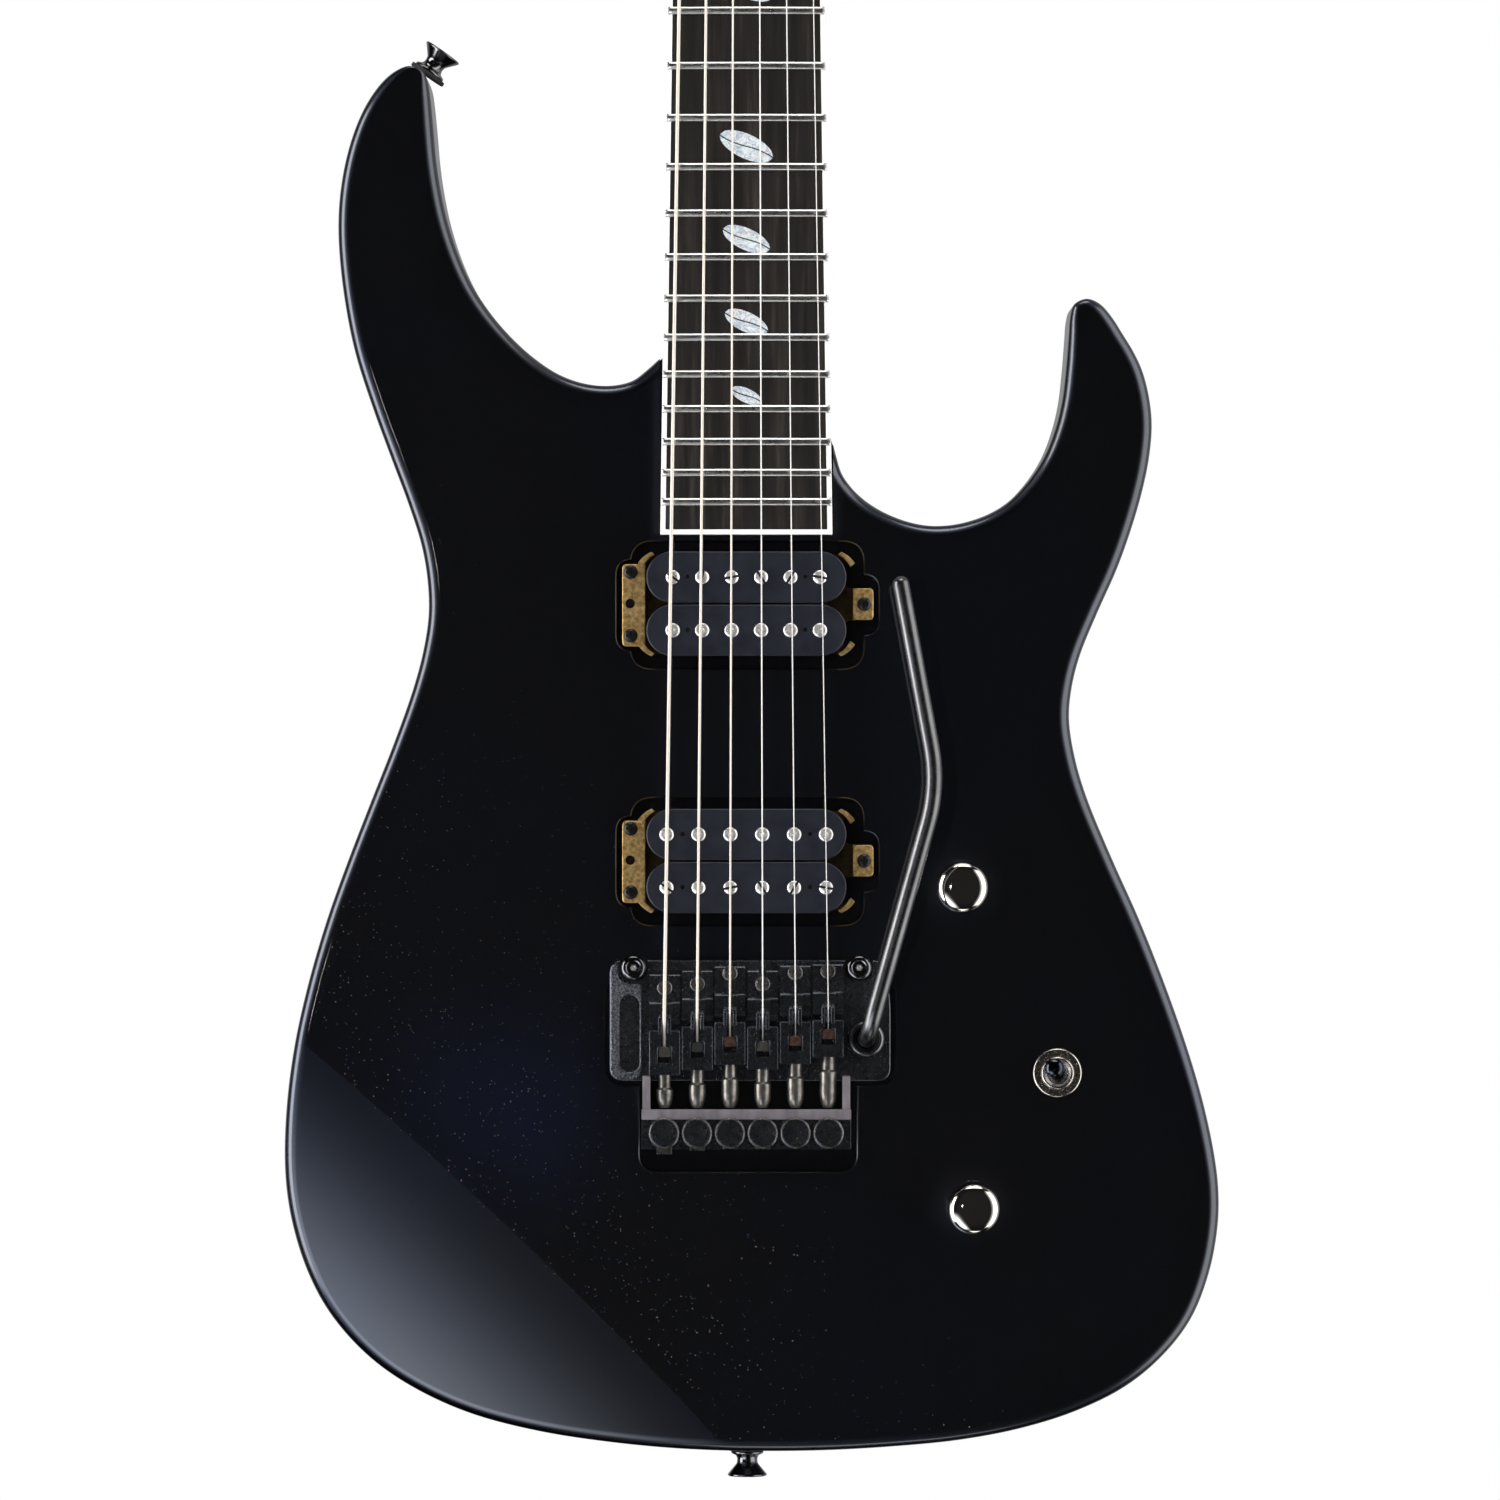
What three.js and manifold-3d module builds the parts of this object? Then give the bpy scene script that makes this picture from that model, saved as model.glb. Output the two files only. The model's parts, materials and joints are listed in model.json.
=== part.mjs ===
// A solid-body electric guitar: two deep cutaways, a bolt-on 24-fret neck, two open-coil pickups and a
// double-locking tremolo. Millimetres, +Z up the neck, +X to the treble side, the front faces -Y.
// The origin is the middle of the nut line, level with the body's front face.
import * as THREE from "three";
import { mergeVertices } from "three/addons/utils/BufferGeometryUtils.js";
import Module from "manifold-3d";

const wasm = await Module();
wasm.setup();

// ---- driving dimensions ----
const SCALE_LENGTH = 647.7;
const FRET_COUNT = 24;
const STRING_COUNT = 6;
const BODY_DEPTH = 45;
const EDGE_RADIUS = 4;
const GAP = 0.3;

const NECK_FRONT = -2.5;
const NECK_SHELF_TOP = 18;
const BOARD_THICKNESS = 6;
const BOARD_CROWN_RADIUS = 350;
const BOARD_END = -496.6;
const NUT_WIDTH = 43;
const BOARD_END_WIDTH = 56.8;
const BINDING_WIDTH = 1.75;
const POCKET_FLOOR = 15.7;

const NUT_SPREAD = 34.8;
const BRIDGE_SPREAD = 53.8;
const STRING_DIAMETERS = [1.17, 0.91, 0.66, 0.46, 0.38, 0.3];
const STRING_Y_AT_NUT = -10.1;
const STRING_Y_AT_BRIDGE = -13.5;

const PLATE_TOP = -4.6;
const PLATE_THICKNESS = 3;
const STUD_X = 37.2;
const STUD_Z = -639.4;
const COLLAR = new THREE.Vector2(39.5, -662.8);
const WING_ROUT_FLOOR = 3.5;
const TAIL_ROUT_FLOOR = 14;

const HEAD_TILT = THREE.MathUtils.degToRad(10);
const HEAD_THICKNESS = 14;
const HEAD_PIVOT = new THREE.Vector3(0, NECK_FRONT + 1, 17);
const POST_STEP = 25;
const FIRST_POST_Z = 30;
const POST_SIDE_OFFSET = 3.3;

const VOLUME_KNOB = new THREE.Vector2(71.1, -612.8);
const TONE_KNOB = new THREE.Vector2(74.9, -718.6);
const TOGGLE = new THREE.Vector2(102.8, -674.3);
const TOGGLE_TILT = THREE.MathUtils.degToRad(12);
const TOGGLE_HEADING = THREE.MathUtils.degToRad(-55);
const TOP_WALL = 6;
const CAVITY_LID = 2;
const JACK_Z = -722.9;
const JACK_FACE_X = 155.4;

const NECK_PICKUP_Z = -519.4;
const BRIDGE_PICKUP_Z = -604.2;
const PICKUP_TOP_AT_NECK = -8.6;
const PICKUP_TOP_AT_BRIDGE = -9.6;

// ---- finishes ----
function finish(color, roughness, metalness) {
  return new THREE.MeshStandardMaterial({ color, roughness, metalness });
}

const FINISHES = {
  lacquer: () => finish(0x0b0b0e, 0.12, 0.2),
  maple: () => finish(0xc89b62, 0.45, 0),
  ebony: () => finish(0x15110f, 0.55, 0),
  binding: () => finish(0xf1eee4, 0.35, 0),
  fretWire: () => finish(0xd6d5cf, 0.22, 1),
  blackMetal: () => finish(0x1d1e21, 0.35, 0.9),
  steel: () => finish(0x9c9a95, 0.3, 1),
  nickel: () => finish(0xd9d0c2, 0.12, 1),
  brass: () => finish(0xc99a3d, 0.35, 1),
  blackPlastic: () => finish(0x1b1b1f, 0.4, 0),
  stringWire: () => finish(0xd8cfb8, 0.25, 1),
};

// ---- solids ----
function toSolid(geometry) {
  const bare = geometry.clone();
  bare.deleteAttribute("normal");
  bare.deleteAttribute("uv");
  const merged = mergeVertices(bare, 1e-4);
  const mesh = new wasm.Mesh({
    numProp: 3,
    vertProperties: new Float32Array(merged.attributes.position.array),
    triVerts: new Uint32Array(merged.index.array),
  });
  return new wasm.Manifold(mesh);
}

function toGeometry(solid) {
  const mesh = solid.getMesh();
  const geometry = new THREE.BufferGeometry();
  geometry.setAttribute("position", new THREE.Float32BufferAttribute(mesh.vertProperties, 3));
  geometry.setIndex(new THREE.Uint32BufferAttribute(mesh.triVerts, 1));
  geometry.computeVertexNormals();
  return geometry;
}

function join(...geometries) {
  return toGeometry(geometries.map(toSolid).reduce((whole, piece) => whole.add(piece)));
}

function cut(base, ...tools) {
  return toGeometry(tools.map(toSolid).reduce((whole, tool) => whole.subtract(tool), toSolid(base)));
}

function common(first, second) {
  return toGeometry(toSolid(first).intersect(toSolid(second)));
}

// A front-view outline (x, z) given thickness from frontY to backY, its edges rounded by `rounding`.
function slab(shape, frontY, backY, rounding = 0, curveSegments = 3) {
  const geometry = new THREE.ExtrudeGeometry(shape, {
    depth: backY - frontY - 2 * rounding,
    bevelEnabled: rounding > 0,
    bevelThickness: rounding,
    bevelSize: rounding,
    bevelOffset: -rounding,
    bevelSegments: 2,
    curveSegments,
  });
  return geometry.rotateX(Math.PI / 2).translate(0, backY - rounding, 0);
}

// A side-view outline (z, y) given width from lowX to highX.
function sideBar(corners, lowX, highX) {
  const shape = new THREE.Shape(corners.map(([z, y]) => new THREE.Vector2(z, y)));
  const geometry = new THREE.ExtrudeGeometry(shape, { depth: highX - lowX, bevelEnabled: false });
  return geometry.rotateY(-Math.PI / 2).translate(highX, 0, 0);
}

function block(lowX, highX, lowY, highY, lowZ, highZ) {
  const geometry = new THREE.BoxGeometry(highX - lowX, highY - lowY, highZ - lowZ);
  return geometry.translate((lowX + highX) / 2, (lowY + highY) / 2, (lowZ + highZ) / 2);
}

// A front-view polygon with every corner rounded.
function roundedOutline(corners, radius) {
  const points = corners.map(([x, z]) => new THREE.Vector2(x, z));
  const shape = new THREE.Shape();
  points.forEach((corner, index) => {
    const before = points.at(index - 1);
    const after = points[(index + 1) % points.length];
    const entry = corner.clone().add(before.clone().sub(corner).setLength(radius));
    const exit = corner.clone().add(after.clone().sub(corner).setLength(radius));
    if (index === 0) shape.moveTo(entry.x, entry.y);
    else shape.lineTo(entry.x, entry.y);
    shape.quadraticCurveTo(corner.x, corner.y, exit.x, exit.y);
  });
  shape.closePath();
  return shape;
}

function roundedRectangle(lowX, highX, lowZ, highZ, radius) {
  return roundedOutline([[lowX, lowZ], [highX, lowZ], [highX, highZ], [lowX, highZ]], radius);
}

// A turned piece whose axis stands on the front face: [radius, height above the face] pairs, lowest first.
function turned(profile, segments = 12) {
  const points = profile.map(([radius, height]) => new THREE.Vector2(radius, height));
  return new THREE.LatheGeometry(points, segments).rotateX(Math.PI);
}

function frontRod(radius, frontY, backY, segments = 12) {
  const geometry = new THREE.CylinderGeometry(radius, radius, backY - frontY, segments);
  return geometry.translate(0, (frontY + backY) / 2, 0);
}

function at(geometry, x, z) {
  return geometry.translate(x, 0, z);
}

// A closed skin over rings that have the same number of points.
function loft(rings) {
  const count = rings[0].length;
  const positions = rings.flat().flatMap((point) => [point.x, point.y, point.z]);
  const index = [];
  for (let ring = 0; ring < rings.length - 1; ring += 1) {
    for (let i = 0; i < count; i += 1) {
      const here = ring * count + i;
      const next = ring * count + ((i + 1) % count);
      index.push(here, next, here + count, next, next + count, here + count);
    }
  }
  const last = (rings.length - 1) * count;
  for (let i = 1; i < count - 1; i += 1) {
    index.push(0, i + 1, i);
    index.push(last, last + i, last + i + 1);
  }
  const geometry = new THREE.BufferGeometry();
  geometry.setAttribute("position", new THREE.Float32BufferAttribute(positions, 3));
  geometry.setIndex(index);
  return geometry;
}

// ---- the line of the neck and strings ----
function fretZ(number) {
  return -SCALE_LENGTH * (1 - 2 ** (-number / 12));
}

function boardWidth(z) {
  return NUT_WIDTH + (BOARD_END_WIDTH - NUT_WIDTH) * (z / BOARD_END);
}

function crownY(x) {
  return NECK_FRONT - BOARD_THICKNESS + (x * x) / (2 * BOARD_CROWN_RADIUS);
}

function stringX(index, z) {
  const spread = NUT_SPREAD + (BRIDGE_SPREAD - NUT_SPREAD) * (z / -SCALE_LENGTH);
  return spread * (index / (STRING_COUNT - 1) - 0.5);
}

function stringY(z) {
  return STRING_Y_AT_NUT + (STRING_Y_AT_BRIDGE - STRING_Y_AT_NUT) * (z / -SCALE_LENGTH);
}

// ---- body ----
const BODY_OUTLINE = [
  // upper horn, from its tip down the bass side
  [-106.8, -343.4], [-112, -341.4], [-120, -346], [-128.4, -359.3], [-134, -380], [-134.8, -402],
  [-129.5, -436], [-117.3, -471.7], [-107.5, -500], [-105.2, -523], [-110.5, -548], [-124, -584],
  // lower bout
  [-138.8, -623.7], [-149.5, -665], [-153.1, -703], [-150, -728], [-140, -752.5], [-121, -773],
  [-90, -788.5], [-45, -797], [1, -799.6], [50, -798], [90, -792.3], [125, -778.5], [147, -756],
  [156, -725], [154.6, -700], [145.5, -665], [130, -623.7], [112.5, -583], [106.8, -557],
  // treble waist and lower horn
  [110.5, -536], [122.5, -508], [131, -482], [134.2, -460], [131, -442], [124.6, -430],
  [117.8, -420.6], [112.8, -418.3], [108.2, -420.5], [106.6, -430],
  // lower cutaway
  [104.4, -452], [98.5, -470.5], [86.5, -485.6], [74, -491.8], [61, -493.4], [48.5, -490.3],
  [38, -484], [31.5, -476], [28, -464],
  // heel under the neck
  [19, -447], [0, -436], [-18, -432],
  // upper cutaway
  [-28, -437.5], [-37.5, -445.3], [-49, -447], [-63, -442.8], [-79, -429.8], [-91, -413.2],
  [-99, -392], [-102.6, -372], [-104.6, -351],
];

function bodyOutline() {
  const points = BODY_OUTLINE.map(([x, z]) => new THREE.Vector3(x, z, 0));
  const curve = new THREE.CatmullRomCurve3(points, true, "centripetal");
  const samples = curve.getPoints(points.length * 2).slice(0, -1);
  return new THREE.Shape(samples.map((point) => new THREE.Vector2(point.x, point.y)));
}

// The forearm bevel is a shallow cone whose rim is the crease across the lower bass corner.
function forearmBevel() {
  const upperEnd = new THREE.Vector2(-149, -662.3);
  const lowerEnd = new THREE.Vector2(-6.5, -798.5);
  const bow = 6;
  const slope = THREE.MathUtils.degToRad(12);
  const rise = 10;
  const chord = lowerEnd.clone().sub(upperEnd);
  const half = chord.length() / 2;
  const radius = (half * half + bow * bow) / (2 * bow);
  const inward = new THREE.Vector2(-chord.y, chord.x).normalize();
  const centre = upperEnd.clone().add(lowerEnd).multiplyScalar(0.5);
  centre.addScaledVector(inward, bow - radius);
  const rimRadius = radius + rise / Math.tan(slope);
  const height = rimRadius * Math.tan(slope);
  return at(new THREE.ConeGeometry(rimRadius, height, 200).translate(0, height / 2 - rise, 0),
    centre.x, centre.y);
}

function pickupRout(centreZ) {
  const main = slab(roundedRectangle(-38, 38.6, centreZ - 21.2, centreZ + 20.6, 6), -1, 18);
  const bassLobe = slab(roundedRectangle(-42.8, -20, centreZ - 15.2, centreZ + 14.6, 5), -1, 18);
  const trebleLobe = slab(roundedRectangle(20, 43.6, centreZ - 10.2, centreZ + 9.6, 5), -1, 18);
  return join(main, bassLobe, trebleLobe);
}

function bridgeRout() {
  const wings = slab(roundedRectangle(-46.6, 49.2, -678.4, -643.5, 6.5), -1, WING_ROUT_FLOOR);
  const tail = slab(roundedRectangle(-35.2, 36.4, -707, -650, 5), -1, TAIL_ROUT_FLOOR);
  const blockWell = slab(roundedRectangle(-31.6, 31.6, -692, -640.4, 4), -1, BODY_DEPTH + 1);
  return join(wings, tail, blockWell);
}

function springCavity() {
  const cavity = slab(roundedRectangle(-38, 38, -692, -537, 8), 27, BODY_DEPTH + 1);
  const lidSeat = slab(springCoverOutline(GAP), BODY_DEPTH - CAVITY_LID - GAP, BODY_DEPTH + 1);
  return join(cavity, lidSeat);
}

function springCoverOutline(margin) {
  return roundedRectangle(-46 - margin, 46 + margin, -704 - margin, -528 + margin, 8);
}

const CONTROL_CAVITY = [[58, -599], [88, -599], [124, -664], [127, -722], [112, -737], [58, -737]];

function controlCoverOutline(margin) {
  const centre = new THREE.Vector2(90, -674);
  const corners = CONTROL_CAVITY.map(([x, z]) => {
    const arm = new THREE.Vector2(x, z).sub(centre);
    arm.setLength(arm.length() + 8 + margin).add(centre);
    return [arm.x, arm.y];
  });
  return roundedOutline(corners, 9);
}

function controlCavity() {
  const cavity = slab(roundedOutline(CONTROL_CAVITY, 8), TOP_WALL, BODY_DEPTH + 1);
  const lidSeat = slab(controlCoverOutline(GAP), BODY_DEPTH - CAVITY_LID - GAP, BODY_DEPTH + 1);
  const potHoles = [VOLUME_KNOB, TONE_KNOB].map((spot) => at(frontRod(4, -1, 10), spot.x, spot.y));
  const toggleHole = at(frontRod(3.6, -1, 10), TOGGLE.x, TOGGLE.y);
  return join(cavity, lidSeat, ...potHoles, toggleHole);
}

function jackHole() {
  const barrel = new THREE.CylinderGeometry(6.4, 6.4, 60, 16).rotateZ(Math.PI / 2);
  const flangeSeat = new THREE.CylinderGeometry(10.4, 10.4, 20, 20).rotateZ(Math.PI / 2);
  barrel.translate(JACK_FACE_X - 20, 0, 0);
  flangeSeat.translate(JACK_FACE_X - 2.3 + 10, 0, 0);
  return join(barrel, flangeSeat).translate(0, BODY_DEPTH / 2, JACK_Z);
}

function strapScrewHoles() {
  return STRAP_BUTTONS.map(({ seat, out }) => {
    const hole = new THREE.CylinderGeometry(2.3, 2.3, 24, 10);
    return placeAlong(hole, seat, out);
  });
}

function body() {
  const neckPocket = block(-28.7, 28.7, -5, POCKET_FLOOR, BOARD_END - GAP, -420);
  const studHoles = [-STUD_X, STUD_X].map((x) => at(frontRod(3.4, -1, 26), x, STUD_Z));
  return cut(slab(bodyOutline(), 0, BODY_DEPTH, EDGE_RADIUS), forearmBevel(), neckPocket,
    pickupRout(NECK_PICKUP_Z), pickupRout(BRIDGE_PICKUP_Z), bridgeRout(), springCavity(),
    controlCavity(), jackHole(), ...studHoles, ...strapScrewHoles());
}

// ---- neck ----
// Half of a superellipse behind a flat front; a higher squareness gives fuller shoulders.
function neckRing(z, width, depth, squareness) {
  const steps = 12;
  return Array.from({ length: steps + 1 }, (_, step) => {
    const angle = (Math.PI * step) / steps;
    const across = Math.sign(Math.cos(angle)) * Math.abs(Math.cos(angle)) ** (2 / squareness);
    const back = Math.sin(angle) ** (2 / squareness);
    return new THREE.Vector3((width / 2) * across, NECK_FRONT + depth * back, z);
  });
}

function headstockOutline() {
  const shape = new THREE.Shape();
  shape.moveTo(-21.3, -6);
  shape.lineTo(-21.3, 2);
  shape.bezierCurveTo(-22, 10, -38, 14, -37.5, 26);
  shape.lineTo(-1.5, 160);
  shape.bezierCurveTo(2, 176, 12, 186, 22, 184);
  shape.bezierCurveTo(32, 182, 33, 168, 31, 150);
  shape.bezierCurveTo(27, 110, 27, 60, 22.5, 22);
  shape.lineTo(21.3, -6);
  shape.closePath();
  return shape;
}

function headPlane(geometry) {
  return geometry.rotateX(-HEAD_TILT).translate(HEAD_PIVOT.x, HEAD_PIVOT.y, HEAD_PIVOT.z);
}

function neck() {
  const heelDepth = POCKET_FLOOR - GAP - NECK_FRONT;
  const shaft = loft([
    neckRing(BOARD_END, boardWidth(BOARD_END), heelDepth, 16),
    neckRing(-446, boardWidth(-446), heelDepth, 16),
    neckRing(-422, boardWidth(-422), 16.6, 3),
    neckRing(fretZ(12), boardWidth(fretZ(12)), 15.4, 2.3),
    neckRing(fretZ(1), boardWidth(fretZ(1)), 13.6, 2.3),
    neckRing(0, NUT_WIDTH, 13.6, 2.3),
    neckRing(NECK_SHELF_TOP, NUT_WIDTH, 13.6, 2.6),
  ]);
  const head = headPlane(slab(headstockOutline(), 0, HEAD_THICKNESS, 0, 7));
  const bushingHoles = tunerSpots().map((spot) => {
    return headPlane(at(frontRod(3.6, -2, HEAD_THICKNESS + 2, 10), spot.x, spot.y));
  });
  return cut(join(shaft, head), ...bushingHoles);
}

// ---- fretboard, binding, frets ----
const SPINE_WIDTH = 6;
const TANG_WIDTH = 4;
const SPINE_DEPTH = 1.4;

function crownRing(z, lowX, highX) {
  const top = [0, 1, 2, 3].map((step) => {
    const x = lowX + ((highX - lowX) * step) / 3;
    return new THREE.Vector3(x, crownY(x), z);
  });
  return [new THREE.Vector3(highX, NECK_FRONT - GAP / 2, z), new THREE.Vector3(lowX, NECK_FRONT - GAP / 2, z),
    ...top];
}

function wholeBoard() {
  return loft([
    crownRing(BOARD_END, -BOARD_END_WIDTH / 2, BOARD_END_WIDTH / 2),
    crownRing(0, -NUT_WIDTH / 2, NUT_WIDTH / 2),
  ]);
}

function boardInset(margin) {
  const end = BOARD_END + margin;
  const shape = new THREE.Shape();
  shape.moveTo(-boardWidth(end) / 2 + margin, end);
  shape.lineTo(boardWidth(end) / 2 - margin, end);
  shape.lineTo(boardWidth(1) / 2 - margin, 1);
  shape.lineTo(-boardWidth(1) / 2 + margin, 1);
  shape.closePath();
  return slab(shape, -20, 5);
}

function fretboard() {
  const core = common(wholeBoard(), boardInset(BINDING_WIDTH + GAP / 2));
  const channelTop = NECK_FRONT - SPINE_DEPTH - GAP;
  const channel = block(-SPINE_WIDTH / 2 - GAP, SPINE_WIDTH / 2 + GAP, channelTop, 5,
    fretZ(FRET_COUNT) - 1, fretZ(1) + 1);
  const slots = fretNumbers().map((number) => {
    return block(-TANG_WIDTH / 2 - GAP, TANG_WIDTH / 2 + GAP, -20, channelTop + 0.5,
      fretZ(number) - 0.6, fretZ(number) + 0.6);
  });
  return cut(core, channel, ...slots);
}

function fretboardBinding() {
  return cut(wholeBoard(), boardInset(BINDING_WIDTH));
}

function fretNumbers() {
  return Array.from({ length: FRET_COUNT }, (_, index) => index + 1);
}

// A crowned wire that follows the board's curve from edge to edge.
function fretWire(number) {
  const z = fretZ(number);
  const halfWidth = boardWidth(z) / 2 - 0.2;
  const profile = [[1.4, 0.12], [0.8, 1.1], [-0.8, 1.1], [-1.4, 0.12]];
  const rings = [-1, -1 / 3, 1 / 3, 1].map((side) => {
    const x = side * halfWidth;
    return profile.map(([along, height]) => new THREE.Vector3(x, crownY(x) - height, z + along));
  });
  return loft(rings);
}

function frets() {
  const spineTop = NECK_FRONT - SPINE_DEPTH;
  const spine = block(-SPINE_WIDTH / 2, SPINE_WIDTH / 2, spineTop, NECK_FRONT - GAP,
    fretZ(FRET_COUNT) - 0.5, fretZ(1) + 0.5);
  const tangs = fretNumbers().map((number) => {
    return block(-TANG_WIDTH / 2, TANG_WIDTH / 2, crownY(0) - 0.6, spineTop + 0.5,
      fretZ(number) - 0.3, fretZ(number) + 0.3);
  });
  return join(spine, ...tangs, ...fretNumbers().map(fretWire));
}

function lockingNut() {
  const base = block(-21, 21, -9.6, NECK_FRONT - GAP, GAP, 16);
  const clamps = [-13.7, 0, 13.7].flatMap((x) => [
    slab(roundedRectangle(x - 6.3, x + 6.3, 1.2, 15.2, 1.5), -14, -9.5, 0, 2),
    at(frontRod(3, -16.5, -13.9, 10), x, 8.2),
  ]);
  return join(base, ...clamps);
}

// ---- tuners, in the headstock's own plane ----
const POST_LINE_ANGLE = Math.atan2(NUT_SPREAD / (STRING_COUNT - 1), POST_STEP);

function tunerSpots() {
  return Array.from({ length: STRING_COUNT }, (_, index) => {
    return new THREE.Vector2(stringX(index, 0) - POST_SIDE_OFFSET, FIRST_POST_Z + POST_STEP * index);
  });
}

function tunerPost() {
  const profile = [[0, -19.5], [3, -19.5], [3, 3], [2.4, 4.2], [2.4, 6.2], [3, 7.4], [3, 9.4], [0, 9.8]];
  return turned(profile, 10);
}

const SHAFT_Y = 21;

// The button and its shaft, pointing along -X from the post's axis.
function tunerButton() {
  const shaft = new THREE.CylinderGeometry(1.8, 1.8, 14, 8).rotateZ(Math.PI / 2).translate(-14, 0, 0);
  const paddle = new THREE.LatheGeometry([
    new THREE.Vector2(0, 19.5),
    new THREE.Vector2(4, 20),
    new THREE.Vector2(8.4, 25),
    new THREE.Vector2(8.6, 29),
    new THREE.Vector2(5, 31.6),
    new THREE.Vector2(0, 32),
  ], 12);
  paddle.scale(0.42, 1, 1).rotateZ(Math.PI / 2);
  return join(shaft, paddle);
}

function tunerHousings() {
  const back = HEAD_THICKNESS + GAP;
  const spots = tunerSpots();
  const along = spots[5].clone().sub(spots[0]);
  const middle = spots[0].clone().add(spots[5]).multiplyScalar(0.5);
  const plate = block(-5.5, 5.5, back, back + 1.4, -along.length() / 2 - 9, along.length() / 2 + 9);
  plate.rotateY(POST_LINE_ANGLE).translate(middle.x, 0, middle.y);
  const cases = spots.map((spot) => {
    return block(-9.5, 7.5, back + 0.2, back + 11.5, -7.5, 7.5)
      .rotateY(POST_LINE_ANGLE).translate(spot.x, 0, spot.y);
  });
  const wells = spots.flatMap((spot) => [
    at(frontRod(3.4, 0, 20, 8), spot.x, spot.y),
    new THREE.CylinderGeometry(2.2, 2.2, 5, 8).rotateZ(Math.PI / 2).translate(-8.9, SHAFT_Y, 0)
      .rotateY(POST_LINE_ANGLE).translate(spot.x, 0, spot.y),
  ]);
  return cut(join(plate, ...cases), ...wells);
}

// ---- strap buttons ----
const STRAP_BUTTONS = [
  { name: "upper_strap_button", seat: new THREE.Vector3(-106.6, BODY_DEPTH / 2, -343),
    out: new THREE.Vector3(0.577, 0, 0.817) },
  { name: "lower_strap_button", seat: new THREE.Vector3(0.3, BODY_DEPTH / 2, -799.6),
    out: new THREE.Vector3(0, 0, -1) },
];

function placeAlong(geometry, seat, out) {
  const turn = new THREE.Quaternion().setFromUnitVectors(new THREE.Vector3(0, 1, 0), out.clone().normalize());
  return geometry.applyQuaternion(turn).translate(seat.x, seat.y, seat.z);
}

function strapButton() {
  const points = [[0, -9], [2, -9], [2, 0.3], [5.8, 0.3], [5.8, 1.1], [3.6, 1.9], [3.4, 4.6], [6.6, 9.2],
    [6.6, 9.8], [0, 9.8]];
  return new THREE.LatheGeometry(points.map(([radius, height]) => new THREE.Vector2(radius, height)), 12);
}

// ---- pickups ----
const BOBBIN_LENGTH = 66;
const BOBBIN_WIDTH = 17;
const BOBBIN_SPACING = 8.75;
const SPACER_HALF_LENGTH = 25.5;
const BASEPLATE_DEPTH = 15.6;

function pickupBaseplate(topY) {
  const plateFront = topY + BASEPLATE_DEPTH;
  const corners = [[-41, -14], [-34.5, -14], [-34.5, -17.6], [34.5, -17.6], [34.5, -5.5], [42, -5.5],
    [42, 5.5], [34.5, 5.5], [34.5, 17.6], [-34.5, 17.6], [-34.5, 13], [-41, 13]];
  return slab(roundedOutline(corners, 1.2), plateFront, plateFront + 1.4, 0, 2);
}

function stadium(length, width) {
  const shape = new THREE.Shape();
  const reach = (length - width) / 2;
  shape.absarc(reach, 0, width / 2, -Math.PI / 2, Math.PI / 2, false);
  shape.absarc(-reach, 0, width / 2, Math.PI / 2, (3 * Math.PI) / 2, false);
  shape.closePath();
  return shape;
}

function pickupCoils(topY) {
  const spacer = block(-SPACER_HALF_LENGTH, SPACER_HALF_LENGTH, topY + 9, topY + BASEPLATE_DEPTH - GAP, -14, 14);
  const bobbins = [-BOBBIN_SPACING, BOBBIN_SPACING].flatMap((z) => [
    at(slab(stadium(BOBBIN_LENGTH, BOBBIN_WIDTH), topY, topY + 2.2, 0, 5), 0, z),
    at(slab(stadium(BOBBIN_LENGTH - 4, BOBBIN_WIDTH - 2.6), topY + 2.1, topY + 9.5, 0, 5), 0, z),
  ]);
  return join(spacer, ...bobbins);
}

// ---- tremolo ----
const SADDLES = [
  { front: -641.6, rear: -674.6 },
  { front: -640.3, rear: -673.0 },
  { front: -638.9, rear: -671.2 },
  { front: -640.3, rear: -672.7 },
  { front: -638.7, rear: -670.9 },
  { front: -638.2, rear: -668.7 },
];
const SADDLE_WIDTH = 10.3;
const FINE_TUNER_Z = -693.5;
const BOLT_END = -685.5;

function bridgePlate() {
  const bottom = PLATE_TOP + PLATE_THICKNESS;
  const corners = [[-45.1, -676.8], [47.6, -676.8], [47.6, -651], [46, -637], [-45.1, -637]];
  const plate = slab(roundedOutline(corners, 3), PLATE_TOP, bottom);
  const cheeks = [-34.2, 31.6].map((x) => block(x, x + 2.6, -11.9, bottom - 0.2, -690, -675));
  const shelf = sideBar([[-686.2, -9], [-688.8, -12.4], [-699, -12.4], [-699, -9]], -34.5, 34.5);
  const studNotches = [-STUD_X, STUD_X].map((x) => {
    return slab(roundedRectangle(x - 4.6, x + 4.6, STUD_Z - 4.4, STUD_Z + 8, 4), -20, 5, 0, 4);
  });
  const armHole = at(frontRod(3.5, -20, 5), COLLAR.x, COLLAR.y);
  const tunerHoles = fineTunerSpots().map((x) => at(frontRod(1.9, -20, 5, 8), x, FINE_TUNER_Z));
  return cut(join(plate, ...cheeks, shelf), ...studNotches, armHole, ...tunerHoles);
}

function fineTunerSpots() {
  return Array.from({ length: STRING_COUNT }, (_, index) => 10.8 * (index - 2.5));
}

function sustainBlock() {
  return block(-29.5, 29.5, PLATE_TOP + PLATE_THICKNESS + GAP, 35.5, -664, -646);
}

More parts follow.
